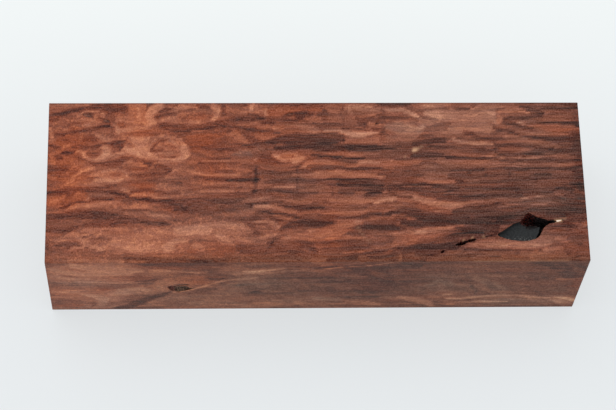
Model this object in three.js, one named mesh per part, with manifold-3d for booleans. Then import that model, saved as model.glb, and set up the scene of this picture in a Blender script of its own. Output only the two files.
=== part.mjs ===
// A squared block of redwood burl, hardened right through with resin and sanded flat: the blank that a
// knife handle, a pen or a box lid is cut from. It is one piece of wood, so it is one solid. Bark and a
// few buds were enclosed as the burl grew, and where they crumbled away they left hollows in the faces.
//
// Millimetres, +Z up. The origin is the middle of the bottom face, +X runs along the grain, and -Y is
// the long side with the small bark pocket in it.

import * as THREE from 'three';
import { RoundedBoxGeometry } from 'three/addons/geometries/RoundedBoxGeometry.js';
import { mergeVertices } from 'three/addons/utils/BufferGeometryUtils.js';
import Module from 'manifold-3d';

const wasm = await Module();
wasm.setup();

// Driving dimensions
const LENGTH = 130;
const WIDTH = 42.5;
const HEIGHT = 29.5;
const EDGE_ROUND = 0.35;
const EDGE_STEPS = 2;

// How finely a hollow is cut
const RIM_STEPS = 44;
const SLIT_STEPS = 18;
const WALL_RINGS = 6;
const CLEAR_ABOVE = 1;
const SLIT_FLATNESS = 0.8;
const SLIT_ROUGHNESS = 0.08;
const MERGE_WITHIN = 0.0001;

// Each hollow's wall wanders in its own way
const FIRST_POCKET_SEED = 11;
const FIRST_SLIT_SEED = 31;

// Sanded redwood under resin
const WOOD_COLOUR = 0x7d4d3c;
const WOOD_ROUGHNESS = 0.55;

// Hollows with a rim of their own. A rim is a closed curve through points on the face, and the wall
// draws in from it to the deepest point. Places are (x, y) on the top and (x, z) on the front.
const POCKETS = [
  {
    // The shelf of smooth bark that fills most of the big pocket
    face: 'top',
    depth: 1.5,
    flatness: 0.3,
    roughness: 0.02,
    deepest: [50.6, -12.9],
    rim: [
      [43.0, -14.4], [44.6, -15.3], [46.3, -15.8], [49.0, -16.1], [51.8, -15.7], [53.1, -14.9],
      [53.8, -13.4], [54.7, -12.2], [56.0, -11.3], [55.1, -10.5], [53.6, -10.1], [52.6, -9.6],
      [51.2, -8.8], [50.1, -9.2], [49.4, -10.3], [48.2, -11.1], [46.5, -11.9], [45.2, -12.9],
    ],
  },
  {
    // The deep crumbly hole behind the shelf
    face: 'top',
    depth: 6,
    flatness: 0.55,
    roughness: 0.1,
    deepest: [52.0, -10.4],
    rim: [
      [49.2, -10.9], [50.4, -11.6], [52.0, -11.7], [53.6, -11.9], [54.8, -12.1], [55.9, -11.3],
      [55.1, -10.5], [53.5, -10.1], [52.5, -9.5], [51.2, -8.9], [50.2, -9.3], [49.4, -10.2],
    ],
  },
  {
    // The crack that parts the shelf from the wood on its right
    face: 'top',
    depth: 4,
    flatness: 0.5,
    roughness: 0.06,
    deepest: [53.9, -12.7],
    rim: [
      [52.3, -15.4], [53.1, -14.9], [53.9, -13.4], [54.9, -12.1], [56.0, -11.2], [54.6, -11.0],
      [53.6, -12.0], [53.2, -13.3], [52.6, -14.5],
    ],
  },
  {
    // The bark pocket in the front
    face: 'front',
    depth: 1.1,
    flatness: 0.45,
    roughness: 0.08,
    deepest: [-33.8, 13.2],
    rim: [
      [-36.1, 14.1], [-35.5, 12.6], [-34.2, 11.6], [-33.1, 11.6], [-31.6, 12.4], [-29.6, 13.2],
      [-30.9, 13.7], [-32.3, 13.9], [-33.6, 14.7], [-35.2, 15.1],
    ],
  },
];

// Narrow hollows along a seam, and the pits of buds: a pointed outline from one end to the other.
const SLITS = [
  { face: 'top', from: [54.9, -11.2], to: [59.4, -10.5], width: 0.9, depth: 2.2 },
  { face: 'top', from: [32.8, -17.0], to: [38.0, -15.5], width: 1.2, depth: 2.0 },
  { face: 'top', from: [38.9, -15.2], to: [43.3, -14.2], width: 0.35, depth: 0.7 },
  { face: 'top', from: [29.1, -19.2], to: [30.0, -18.5], width: 0.6, depth: 0.9 },
  { face: 'top', from: [-56.7, 18.1], to: [-54.6, 17.6], width: 0.7, depth: 0.6 },
  { face: 'top', from: [-51.5, 16.8], to: [-50.1, 16.0], width: 0.7, depth: 0.6 },
  { face: 'top', from: [-7.2, 17.9], to: [-5.2, 18.3], width: 0.8, depth: 0.8 },
  { face: 'top', from: [14.6, 15.4], to: [15.7, 15.6], width: 0.6, depth: 0.7 },
  { face: 'front', from: [-34.2, 15.2], to: [-31.0, 15.9], width: 0.5, depth: 0.5 },
];

// A small seeded random number source, so that every build gives the same walls.
function randomSource(seed) {
  let state = seed;
  return () => {
    state = (state + 0x6d2b79f5) | 0;
    let mixed = Math.imul(state ^ (state >>> 15), 1 | state);
    mixed = (mixed + Math.imul(mixed ^ (mixed >>> 7), 61 | mixed)) ^ mixed;
    return ((mixed ^ (mixed >>> 14)) >>> 0) / 2 ** 32;
  };
}

// Turns (across, up, outward) on a face into the block's own frame.
const FACE_FRAMES = {
  top: new THREE.Matrix4().makeTranslation(0, 0, HEIGHT),
  front: new THREE.Matrix4()
    .makeBasis(new THREE.Vector3(1, 0, 0), new THREE.Vector3(0, 0, 1), new THREE.Vector3(0, -1, 0))
    .setPosition(0, -WIDTH / 2, 0),
};

function toSolid(geometry) {
  const bare = geometry.clone();
  bare.deleteAttribute('normal');
  bare.deleteAttribute('uv');
  const merged = mergeVertices(bare, MERGE_WITHIN);
  return new wasm.Manifold(
    new wasm.Mesh({
      numProp: 3,
      vertProperties: new Float32Array(merged.attributes.position.array),
      triVerts: new Uint32Array(merged.index.array),
    }),
  );
}

function toGeometry(solid) {
  const { numProp, numVert, vertProperties, triVerts } = solid.getMesh();
  const positions = new Float32Array(numVert * 3);
  for (let i = 0; i < numVert; i++) {
    positions.set(vertProperties.subarray(i * numProp, i * numProp + 3), i * 3);
  }
  const indexed = new THREE.BufferGeometry();
  indexed.setAttribute('position', new THREE.BufferAttribute(positions, 3));
  indexed.setIndex(new THREE.BufferAttribute(triVerts, 1));
  const faceted = indexed.toNonIndexed();
  faceted.computeVertexNormals();
  return faceted;
}

// The tool shape that cuts one hollow: a lid above the face, the rim, and rings that shrink towards
// the deepest point. Flatness below 1 keeps the wall steep and the floor broad.
function hollowTool({ face, rim, deepest, depth, flatness, roughness }, seed) {
  const random = randomSource(seed);
  const steps = rim.length;
  const points = [];
  const addRing = (shrink, outward, wander) => {
    for (const [across, up] of rim) {
      const drift = 1 + wander * (random() - 0.5);
      points.push(
        deepest[0] + (across - deepest[0]) * shrink * drift,
        deepest[1] + (up - deepest[1]) * shrink * drift,
        outward * (1 + wander * (random() - 0.5)),
      );
    }
  };
  addRing(1, CLEAR_ABOVE, 0);
  addRing(1, 0, 0);
  for (let ring = 1; ring < WALL_RINGS; ring++) {
    const share = ring / WALL_RINGS;
    const shrink = Math.cos((share * Math.PI) / 2) ** flatness;
    addRing(shrink, -depth * Math.sin((share * Math.PI) / 2), roughness);
  }
  const lidCentre = points.length / 3;
  points.push(deepest[0], deepest[1], CLEAR_ABOVE);
  const floorCentre = lidCentre + 1;
  points.push(deepest[0], deepest[1], -depth);

  const faces = [];
  const rings = WALL_RINGS + 1;
  for (let i = 0; i < steps; i++) {
    const next = (i + 1) % steps;
    faces.push(lidCentre, i, next);
    for (let ring = 0; ring < rings - 1; ring++) {
      const above = ring * steps;
      const below = above + steps;
      faces.push(above + i, below + i, below + next, above + i, below + next, above + next);
    }
    const last = (rings - 1) * steps;
    faces.push(last + i, floorCentre, last + next);
  }
  const geometry = new THREE.BufferGeometry();
  geometry.setAttribute('position', new THREE.Float32BufferAttribute(points, 3));
  geometry.setIndex(faces);
  return toSolid(geometry.applyMatrix4(FACE_FRAMES[face]));
}

function pocketTool(pocket, seed) {
  const curve = new THREE.SplineCurve(
    [...pocket.rim, pocket.rim[0]].map(([across, up]) => new THREE.Vector2(across, up)),
  );
  const rim = curve.getSpacedPoints(RIM_STEPS).slice(0, RIM_STEPS);
  return hollowTool({ ...pocket, rim: rim.map((point) => point.toArray()) }, seed);
}

// A slit is pointed at both ends, and widest in the middle.
function slitTool({ face, from, to, width, depth }, seed) {
  const start = new THREE.Vector2(...from);
  const end = new THREE.Vector2(...to);
  const along = end.clone().sub(start);
  const aside = new THREE.Vector2(-along.y, along.x).normalize();
  const rim = [];
  for (let i = 0; i < SLIT_STEPS; i++) {
    const turn = (i / SLIT_STEPS) * 2 * Math.PI;
    const share = (1 - Math.cos(turn)) / 2;
    const offset = (-Math.sin(turn) * width) / 2;
    rim.push(start.clone().addScaledVector(along, share).addScaledVector(aside, offset).toArray());
  }
  const deepest = start.clone().lerp(end, 0.5).toArray();
  const wall = { flatness: SLIT_FLATNESS, roughness: SLIT_ROUGHNESS };
  return hollowTool({ face, rim, deepest, depth, ...wall }, seed);
}

function burlBlock() {
  const sawn = new RoundedBoxGeometry(LENGTH, WIDTH, HEIGHT, EDGE_STEPS, EDGE_ROUND);
  let solid = toSolid(sawn.translate(0, 0, HEIGHT / 2));
  POCKETS.forEach((pocket, i) => {
    solid = solid.subtract(pocketTool(pocket, FIRST_POCKET_SEED + i));
  });
  SLITS.forEach((slit, i) => {
    solid = solid.subtract(slitTool(slit, FIRST_SLIT_SEED + i));
  });
  const wood = new THREE.MeshStandardMaterial({ color: WOOD_COLOUR, roughness: WOOD_ROUGHNESS });
  const mesh = new THREE.Mesh(toGeometry(solid), wood);
  mesh.name = 'burl_block';
  return mesh;
}

const part = new THREE.Group();
part.add(burlBlock());

export default part;
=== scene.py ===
import math
from itertools import product
import bpy
import numpy as np
from mathutils import Matrix, Vector


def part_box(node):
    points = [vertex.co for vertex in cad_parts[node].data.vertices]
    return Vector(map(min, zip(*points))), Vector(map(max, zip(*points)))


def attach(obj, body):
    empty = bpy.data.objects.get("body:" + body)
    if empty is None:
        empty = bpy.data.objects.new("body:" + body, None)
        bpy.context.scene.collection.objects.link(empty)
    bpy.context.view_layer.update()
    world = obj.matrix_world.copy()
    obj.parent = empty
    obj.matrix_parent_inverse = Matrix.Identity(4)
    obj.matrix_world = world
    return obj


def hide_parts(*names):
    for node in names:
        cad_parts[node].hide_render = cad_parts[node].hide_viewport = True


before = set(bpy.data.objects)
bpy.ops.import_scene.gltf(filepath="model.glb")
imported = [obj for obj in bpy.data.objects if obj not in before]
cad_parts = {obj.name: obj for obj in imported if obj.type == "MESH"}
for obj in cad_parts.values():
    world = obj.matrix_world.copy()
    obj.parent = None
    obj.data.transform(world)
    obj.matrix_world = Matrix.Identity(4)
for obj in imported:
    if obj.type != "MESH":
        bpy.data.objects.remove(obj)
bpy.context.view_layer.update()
print("stage 1: the sawn block's frame is loaded")

# Sizes are worked out in millimetres, and metre turns them into Blender's units.
metre = 0.001
lowCorner, highCorner = (np.array(corner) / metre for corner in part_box("burl_block"))
blockSize = highCorner - lowCorner
topFace = highCorner[2]
frontFace = lowCorner[1]


# A socket that can be used in sums: each operator adds the Math or Vector Math node that it stands for.
class Wire:
    def __init__(self, tree, socket):
        self.tree = tree
        self.socket = socket
        self.isVector = socket.type in ("VECTOR", "RGBA")

    def sum(self, operation, *others):
        kind = "ShaderNodeVectorMath" if self.isVector else "ShaderNodeMath"
        inputs = dict(enumerate((self,) + others))
        return self.tree.add(kind, {"operation": operation}, inputs)

    def __add__(self, other):
        return self.sum("ADD", other)

    __radd__ = __add__

    def __sub__(self, other):
        return self.sum("SUBTRACT", other)

    def __rsub__(self, other):
        return self.tree.add("ShaderNodeMath", {"operation": "SUBTRACT"}, {0: other, 1: self})

    def __mul__(self, other):
        return self.sum("MULTIPLY", other)

    __rmul__ = __mul__

    def __truediv__(self, other):
        return self.sum("DIVIDE", other)

    def __rtruediv__(self, other):
        return self.tree.add("ShaderNodeMath", {"operation": "DIVIDE"}, {0: other, 1: self})

    def clamped(self):
        return self.tree.add("ShaderNodeClamp", {}, {"Value": self})

    def ramp(self, low, high):
        # 0 below low, 1 above high and smooth between them
        settings = {"interpolation_type": "SMOOTHSTEP"}
        inputs = {"Value": self, "From Min": low, "From Max": high}
        return self.tree.add("ShaderNodeMapRange", settings, inputs)


# A node tree, geometry or shader, and the one method that puts nodes in it.
class Tree:
    def __init__(self, nodeTree):
        self.nodeTree = nodeTree

    def add(self, kind, settings, inputs, output=0):
        node = self.nodeTree.nodes.new(kind)
        for name, value in settings.items():
            if name == "stops":
                self.setStops(node.color_ramp, value)
            else:
                setattr(node, name, value)
        for name, value in inputs.items():
            socket = node.inputs[name]
            if isinstance(value, Wire):
                self.nodeTree.links.new(value.socket, socket)
            else:
                socket.default_value = value
        return Wire(self, node.outputs[output])

    def setStops(self, colourRamp, stops):
        while len(colourRamp.elements) < len(stops):
            colourRamp.elements.new(0.5)
        for element, (place, colour) in zip(colourRamp.elements, stops):
            element.position = place
            element.color = (*colour, 1)

    def parts(self, vector):
        first = self.add("ShaderNodeSeparateXYZ", {}, {"Vector": vector})
        return [Wire(self, output) for output in first.socket.node.outputs]

    def vector(self, x, y, z):
        return self.add("ShaderNodeCombineXYZ", {}, {"X": x, "Y": y, "Z": z})

    def noise(self, places, size, detail=3.0, roughness=0.55, distortion=0.0):
        # Noise from 0 to 1 whose lumps are about size (x, y, z) in the units of places
        scaled = places * self.vector(*(1 / side for side in size))
        inputs = {"Vector": scaled, "Scale": 1.0, "Detail": detail, "Roughness": roughness}
        inputs["Distortion"] = distortion
        return self.add("ShaderNodeTexNoise", {"noise_dimensions": "3D"}, inputs)

    def mixed(self, factor, first, second, blend="MIX"):
        settings = {"data_type": "RGBA", "blend_type": blend, "clamp_factor": True}
        return self.add("ShaderNodeMix", settings, {0: factor, 6: first, 7: second}, output=2)


def linear(red, green, blue):
    # A colour in the usual 0 to 255 steps, as the linear values that shaders take
    shares = [step / 255 for step in (red, green, blue)]
    return tuple(((share + 0.055) / 1.055) ** 2.4 if share > 0.04 else share / 12.92 for share in shares)


# Camera: a long lens high over the front, a little to the left, and rolled a few degrees
camera = {
    "photoWidth": 616,
    "focalPixels": 2200.9,
    "sensorWidth": 36.0,
    "place": (-27.42, -227.19, 509.68),
    "aim": (-2.32, -6.41, 29.5),
    "roll": 5.682,
}


def makeCamera(settings):
    lens = bpy.data.cameras.new("camera")
    lens.sensor_width = settings["sensorWidth"]
    lens.lens = settings["focalPixels"] / settings["photoWidth"] * settings["sensorWidth"]
    lens.clip_start = 0.01
    lens.clip_end = 10
    place = Vector(settings["place"]) * metre
    sight = Vector(settings["aim"]) * metre - place
    roll = Matrix.Rotation(math.radians(settings["roll"]), 3, "Z")
    turn = sight.to_track_quat("-Z", "Y").to_matrix() @ roll
    holder = bpy.data.objects.new("camera", lens)
    holder.matrix_world = Matrix.Translation(place) @ turn.to_4x4()
    bpy.context.collection.objects.link(holder)
    bpy.context.scene.camera = holder


# Light: an even pale surround and one broad soft lamp high over the back left
light = {
    "surround": 0.86,
    "surroundColour": (0.985, 0.995, 1.0),
    "lampPower": 3.6,
    "lampWidth": 0.9,
    "lampPlace": (-0.30, 0.35, 0.95),
    "lampAim": (0.0, 0.0, 0.02),
    "floorNear": linear(231, 235, 237),
    "floorFar": linear(245, 250, 249),
    "floorTurn": (-0.02, 0.13),
    "floorGlow": 0.75,
    "floorWidth": 6.0,
}


def makeLight(settings):
    scene = bpy.context.scene
    scene.view_settings.view_transform = "Standard"
    scene.view_settings.look = "None"
    surround = bpy.data.worlds.new("surround")
    surround.use_nodes = True
    background = surround.node_tree.nodes["Background"]
    background.inputs["Color"].default_value = (*settings["surroundColour"], 1)
    background.inputs["Strength"].default_value = settings["surround"]
    scene.world = surround
    softbox = bpy.data.lights.new("softbox", "AREA")
    softbox.energy = settings["lampPower"]
    softbox.size = settings["lampWidth"]
    place = Vector(settings["lampPlace"])
    turn = (Vector(settings["lampAim"]) - place).to_track_quat("-Z", "Y").to_matrix().to_4x4()
    holder = bpy.data.objects.new("softbox", softbox)
    holder.matrix_world = Matrix.Translation(place) @ turn
    bpy.context.collection.objects.link(holder)


def makeFloor(settings):
    half = settings["floorWidth"] / 2
    corners = [(-half, -half, 0), (half, -half, 0), (half, half, 0), (-half, half, 0)]
    mesh = bpy.data.meshes.new("paleFloor")
    mesh.from_pydata(corners, [], [(0, 1, 2, 3)])
    paper = bpy.data.materials.new("palePaper")
    paper.use_nodes = True
    tree = Tree(paper.node_tree)
    shader = paper.node_tree.nodes["Principled BSDF"]
    shader.inputs["Roughness"].default_value = 0.9
    shader.inputs["Specular IOR Level"].default_value = 0.1
    places = tree.add("ShaderNodeTexCoord", {}, {}, output="Object")
    glow = settings["floorGlow"]
    far = tree.parts(places)[1].ramp(*settings["floorTurn"])
    shade = tree.mixed(far, (*settings["floorNear"], 1), (*settings["floorFar"], 1))
    lit = shade * tree.vector(1 - glow, 1 - glow, 1 - glow)
    paper.node_tree.links.new(lit.socket, shader.inputs["Base Color"])
    # The paper also glows by itself, a painted light with no lamp behind it, so that the block throws next to
    # no shadow on it
    paper.node_tree.links.new(shade.socket, shader.inputs["Emission Color"])
    shader.inputs["Emission Strength"].default_value = glow
    mesh.materials.append(paper)
    floor = bpy.data.objects.new("paleFloor", mesh)
    bpy.context.collection.objects.link(floor)


makeCamera(camera)
makeLight(light)
makeFloor(light)
print("stage 2: camera, light and floor are set")


# The sawn block: a box of small cells whose edges are eased with a small round
block = {
    "edgeRound": 0.14,
    "cellsAlong": 252,
    "cellsAcross": 84,
    "cellsUp": 55,
    "roundCells": 3,
}


def startTree(name, kinds):
    # A geometry tree, the wires that enter it, and the names by which a modifier sets them
    nodeTree = bpy.data.node_groups.new(name, "GeometryNodeTree")
    sockets = {}
    for label, kind in kinds.items():
        item = nodeTree.interface.new_socket(label, in_out="INPUT", socket_type=f"NodeSocket{kind}")
        sockets[label] = item.identifier
    nodeTree.interface.new_socket("Geometry", in_out="OUTPUT", socket_type="NodeSocketGeometry")
    tree = Tree(nodeTree)
    given = nodeTree.nodes.new("NodeGroupInput")
    named = {output.name: Wire(tree, output) for output in given.outputs if output.name}
    return tree, named, sockets


def endTree(tree, shape, wood):
    real = tree.add("GeometryNodeRealizeInstances", {}, {"Geometry": shape})
    done = tree.add("GeometryNodeSetMaterial", {}, {"Geometry": real, "Material": wood})
    leave = tree.nodeTree.nodes.new("NodeGroupOutput")
    tree.nodeTree.links.new(done.socket, leave.inputs[0])


def plainMesh(holder, name):
    # The evaluated shape as a mesh with no modifiers
    bpy.context.view_layer.update()
    seen = holder.evaluated_get(bpy.context.evaluated_depsgraph_get())
    mesh = bpy.data.meshes.new_from_object(seen)
    mesh.name = name
    return mesh


def grown(mesh, tree, sockets, values):
    # The mesh that a geometry tree makes of this one with these values
    name = tree.nodeTree.name
    holder = bpy.data.objects.new(name, mesh)
    bpy.context.collection.objects.link(holder)
    modifier = holder.modifiers.new(name, "NODES")
    modifier.node_group = tree.nodeTree
    for label, value in values.items():
        modifier[sockets[label]] = value
    made = plainMesh(holder, "burlBlock")
    holder.modifiers.clear()
    bpy.data.objects.remove(holder)
    return made


def makeBlockTree():
    kinds = dict.fromkeys(("Length", "Width", "Height", "Edge round", "Round cells"), "Float")
    kinds.update(dict.fromkeys(("Cells along", "Cells across", "Cells up"), "Int"))
    kinds["Wood"] = "Material"
    tree, named, sockets = startTree("sawnBlock", kinds)
    sides = [named["Length"], named["Width"], named["Height"]]
    cells = [named["Cells along"], named["Cells across"], named["Cells up"]]
    edge = named["Edge round"]
    roundCells = named["Round cells"]
    counts = {f"Vertices {axis}": count + 1 for axis, count in zip("XYZ", cells)}
    box = tree.add("GeometryNodeMeshCube", {}, {"Size": tree.vector(*sides), **counts}, output="Mesh")
    places = tree.parts(tree.add("GeometryNodeInputPosition", {}, {}))
    moved = []
    for place, side, count in zip(places, sides, cells):
        # The outer cells follow equal turns of the round, and the rest share the flat evenly
        half = side / 2
        fromSide = (1 - place.sum("ABSOLUTE") / half) * count / 2
        turn = (1 - (fromSide / roundCells).clamped()) * (math.pi / 4)
        onRound = (1 - turn.sum("TANGENT")) * edge
        onFlat = (fromSide - roundCells) / (count / 2 - roundCells) * (half - edge)
        deep = onRound + onFlat.sum("MAXIMUM", 0.0)
        moved.append((half - deep) * place.sum("SIGN"))
    spot = tree.vector(*moved)
    reach = tree.vector(*(side / 2 - edge for side in sides))
    inner = spot.sum("MINIMUM", reach).sum("MAXIMUM", reach * tree.vector(-1.0, -1.0, -1.0))
    outward = (spot - inner).sum("NORMALIZE")
    eased = inner + outward * tree.vector(edge, edge, edge) + tree.vector(0.0, 0.0, sides[2] / 2)
    shaped = tree.add("GeometryNodeSetPosition", {}, {"Geometry": box, "Position": eased})
    endTree(tree, shaped, named["Wood"])
    return tree, sockets


def makeBlock(settings, wood):
    tree, sockets = makeBlockTree()
    values = {
        "Length": blockSize[0] * metre,
        "Width": blockSize[1] * metre,
        "Height": blockSize[2] * metre,
        "Edge round": settings["edgeRound"] * metre,
        "Cells along": settings["cellsAlong"],
        "Cells across": settings["cellsAcross"],
        "Cells up": settings["cellsUp"],
        "Round cells": float(settings["roundCells"]),
        "Wood": wood,
    }
    return grown(bpy.data.meshes.new("sawnBlock"), tree, sockets, values)


# The hollows, as in the solid block: (x, y) on the top and (x, z) on the front, in millimetres
hollows = {
    "rimSteps": 110,
    "slitSteps": 40,
    "rings": 12,
    "clearAbove": 0.6,
    "ragged": 0.14,
    "rimLumps": ((0.6, 1.1), (0.5, 0.45)),
    "wallLumps": ((1.0, 0.9), (0.6, 0.4)),
    "slitFlatness": 0.8,
    "slitRoughness": 0.05,
    "pocketSeed": 11,
    "slitSeed": 31,
    "rimSeed": 50,
    "pockets": [
        {   # the shelf of smooth bark that fills most of the big pocket
            "face": "top", "depth": 1.5, "flatness": 0.3, "roughness": 0.015, "deepest": (50.6, -12.9),
            "rim": [(43.0, -14.4), (44.6, -15.3), (46.3, -15.8), (49.0, -16.1), (51.8, -15.7), (53.1, -14.9),
                    (53.8, -13.4), (54.7, -12.2), (56.0, -11.3), (55.1, -10.5), (53.6, -10.1), (52.6, -9.6),
                    (51.2, -8.8), (50.1, -9.2), (49.4, -10.3), (48.2, -11.1), (46.5, -11.9), (45.2, -12.9)],
        },
        {   # the deep crumbly hole behind the shelf
            "face": "top", "depth": 4.5, "flatness": 0.5, "roughness": 0.16, "deepest": (52.2, -10.6),
            "rim": [(49.2, -10.9), (50.4, -11.6), (52.0, -11.7), (53.6, -11.9), (54.8, -12.1), (55.9, -11.3),
                    (55.1, -10.5), (53.5, -10.1), (52.5, -9.5), (51.2, -8.9), (50.2, -9.3), (49.4, -10.2)],
        },
        {   # the crack that parts the shelf from the wood on its right
            "face": "top", "depth": 4.0, "flatness": 0.5, "roughness": 0.06, "deepest": (53.9, -12.7),
            "rim": [(52.3, -15.4), (53.1, -14.9), (53.9, -13.4), (54.9, -12.1), (56.0, -11.2), (54.6, -11.0),
                    (53.6, -12.0), (53.2, -13.3), (52.6, -14.5)],
        },
        {   # the bark pocket in the front
            "face": "front", "depth": 0.9, "flatness": 0.5, "roughness": 0.14, "deepest": (-33.8, 13.2),
            "rim": [(-36.3, 14.2), (-35.9, 12.9), (-34.8, 11.8), (-33.3, 11.4), (-31.9, 12.1), (-30.8, 12.8),
                    (-29.5, 13.2), (-30.9, 13.9), (-31.6, 14.7), (-32.6, 14.8), (-33.8, 14.8), (-35.3, 15.2)],
        },
    ],
    "slits": [
        {"face": "top", "from": (54.6, -11.3), "to": (57.6, -10.8), "width": 0.9, "depth": 2.2},
        {"face": "top", "from": (56.5, -10.95), "to": (59.4, -10.5), "width": 0.75, "depth": 0.2},
        {"face": "top", "from": (32.8, -17.1), "to": (36.2, -16.1), "width": 1.0, "depth": 2.0},
        {"face": "top", "from": (35.2, -16.3), "to": (38.0, -15.5), "width": 0.8, "depth": 1.4},
        {"face": "top", "from": (38.9, -15.2), "to": (43.3, -14.2), "width": 0.3, "depth": 0.12},
        {"face": "top", "from": (29.1, -19.2), "to": (30.0, -18.5), "width": 0.6, "depth": 0.9},
        {"face": "top", "from": (-56.7, 18.1), "to": (-54.6, 17.6), "width": 0.8, "depth": 0.16},
        {"face": "top", "from": (-51.7, 16.6), "to": (-50.1, 16.1), "width": 0.8, "depth": 0.2},
        {"face": "top", "from": (-7.2, 17.9), "to": (-5.2, 18.3), "width": 0.7, "depth": 0.35},
        {"face": "top", "from": (14.6, 15.4), "to": (15.7, 15.6), "width": 0.5, "depth": 0.3},
        {"face": "front", "from": (-34.2, 15.2), "to": (-31.0, 15.9), "width": 0.6, "depth": 0.35},
    ],
}


def smoothNoise(places, size, seed):
    # Even lumps between -1 and 1, about size (x, y, z) millimetres big
    scaled = places / np.asarray(size, float) + seed * 7.31
    cell = np.floor(scaled).astype(np.int64)
    inside = scaled - cell
    blend = inside * inside * (3 - 2 * inside)
    total = np.zeros(len(places))
    for corner in product((0, 1), repeat=3):
        key = cell + np.array(corner)
        mixed = key[:, 0] * 73856093 ^ key[:, 1] * 19349663 ^ key[:, 2] * 83492791 ^ seed * 2654435761
        mixed = ((mixed ^ (mixed >> 13)) * 1274126177) & 0x7FFFFFFF
        mixed = ((mixed ^ (mixed >> 15)) * 668265263) & 0x7FFFFFFF
        weight = np.prod(np.where(corner, blend, 1 - blend), axis=1)
        total += weight * mixed / 0x7FFFFFFF
    return total * 2 - 1


def lumps(places, kinds, seed):
    # Noise of several kinds together: each its strength and its size
    return sum(strength * smoothNoise(places, size, seed + i) for i, (strength, size) in enumerate(kinds))


def smooth(value, low, high):
    # 0 at low, 1 at high and smooth between them
    share = np.clip((value - low) / (high - low), 0, 1)
    return share * share * (3 - 2 * share)


def splineRim(points, steps):
    # A closed smooth curve through the points, with its steps evenly spaced
    knots = np.array(points, float)
    fine = []
    share = np.linspace(0, 1, 24, endpoint=False)[:, None]
    for i in range(len(knots)):
        before, here, there, after = (knots[(i + k) % len(knots)] for k in (-1, 0, 1, 2))
        fine.append(0.5 * (2 * here + (there - before) * share
                           + (2 * before - 5 * here + 4 * there - after) * share ** 2
                           + (3 * here - before - 3 * there + after) * share ** 3))
    fine = np.concatenate(fine + [knots[:1]])
    length = np.concatenate([[0], np.cumsum(np.linalg.norm(np.diff(fine, axis=0), axis=1))])
    wanted = np.linspace(0, length[-1], steps, endpoint=False)
    return np.stack([np.interp(wanted, length, fine[:, k]) for k in (0, 1)], axis=1)


def slitRim(start, end, width, steps):
    # Pointed at both ends and widest in the middle
    start, end = np.array(start, float), np.array(end, float)
    along = end - start
    aside = np.array([-along[1], along[0]]) / np.linalg.norm(along)
    turn = np.arange(steps) / steps * 2 * math.pi
    share = ((1 - np.cos(turn)) / 2)[:, None]
    return start + along * share - aside * (np.sin(turn) * width / 2)[:, None]


def hollowCutter(wood, face, rim, deepest, depth, flatness, roughness, seed):
    # A lid above the face, the rim, and rings that shrink towards the deepest point
    steps = len(rim)
    deepest = np.array(deepest, float)
    edge = np.column_stack([rim, np.zeros(steps)])
    ragged = lumps(edge, hollows["rimLumps"], seed + hollows["rimSeed"])
    inward = deepest - rim
    inward /= np.maximum(np.linalg.norm(inward, axis=1), 0.01)[:, None]
    rim = rim + inward * (hollows["ragged"] * ragged)[:, None]
    rings = [(rim, np.full(steps, hollows["clearAbove"])), (rim, np.zeros(steps))]
    for ring in range(1, hollows["rings"]):
        share = ring / hollows["rings"] * math.pi / 2
        shrink = math.cos(share) ** flatness
        flat = deepest + (rim - deepest) * shrink
        fall = -depth * math.sin(share)
        spots = np.column_stack([flat, np.full(steps, fall)])
        wander = lumps(spots, hollows["wallLumps"], seed)
        flat = deepest + (flat - deepest) * (1 + roughness * wander)[:, None]
        rings.append((flat, fall * (1 + roughness * wander)))
    points = [np.column_stack([flat, out]) for flat, out in rings]
    lid = len(rings) * steps
    points.append(np.array([[*deepest, hollows["clearAbove"]], [*deepest, -depth]]))
    points = np.concatenate(points)
    faces = []
    for i in range(steps):
        after = (i + 1) % steps
        faces.append((lid, i, after))
        for above in range(0, (len(rings) - 1) * steps, steps):
            faces.append((above + i, above + steps + i, above + steps + after, above + after))
        last = (len(rings) - 1) * steps
        faces.append((last + i, lid + 1, last + after))
    across, up, out = points.T
    if face == "top":
        places = np.column_stack([across, up, topFace + out])
    else:
        places = np.column_stack([across, frontFace - out, up])
    mesh = bpy.data.meshes.new("hollowCutter")
    mesh.from_pydata((places * metre).tolist(), [], faces)
    mesh.materials.append(wood)
    holder = bpy.data.objects.new("hollowCutter", mesh)
    bpy.context.collection.objects.link(holder)
    return holder


def makeCutters(settings, wood):
    cutters = []
    for i, pocket in enumerate(settings["pockets"]):
        rim = splineRim(pocket["rim"], settings["rimSteps"])
        shape = (pocket["depth"], pocket["flatness"], pocket["roughness"])
        seed = settings["pocketSeed"] + i
        cutters.append(hollowCutter(wood, pocket["face"], rim, pocket["deepest"], *shape, seed=seed))
    for i, slit in enumerate(settings["slits"]):
        rim = slitRim(slit["from"], slit["to"], slit["width"], settings["slitSteps"])
        middle = (np.array(slit["from"]) + np.array(slit["to"])) / 2
        shape = (slit["depth"], settings["slitFlatness"], settings["slitRoughness"])
        seed = settings["slitSeed"] + i
        cutters.append(hollowCutter(wood, slit["face"], rim, middle, *shape, seed=seed))
    return cutters


def cutHollows(mesh, settings, wood):
    holder = bpy.data.objects.new("burlBlock", mesh)
    bpy.context.collection.objects.link(holder)
    cutters = makeCutters(settings, wood)
    for cutter in cutters:
        cut = holder.modifiers.new(cutter.name, "BOOLEAN")
        cut.operation = "DIFFERENCE"
        cut.solver = "MANIFOLD"
        cut.object = cutter
    opened = plainMesh(holder, "burlBlock")
    bpy.data.objects.remove(holder)
    for cutter in cutters:
        bpy.data.objects.remove(cutter)
    return opened


def placesOf(mesh):
    places = np.empty(len(mesh.vertices) * 3)
    mesh.vertices.foreach_get("co", places)
    return places.reshape(-1, 3) / metre


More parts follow.
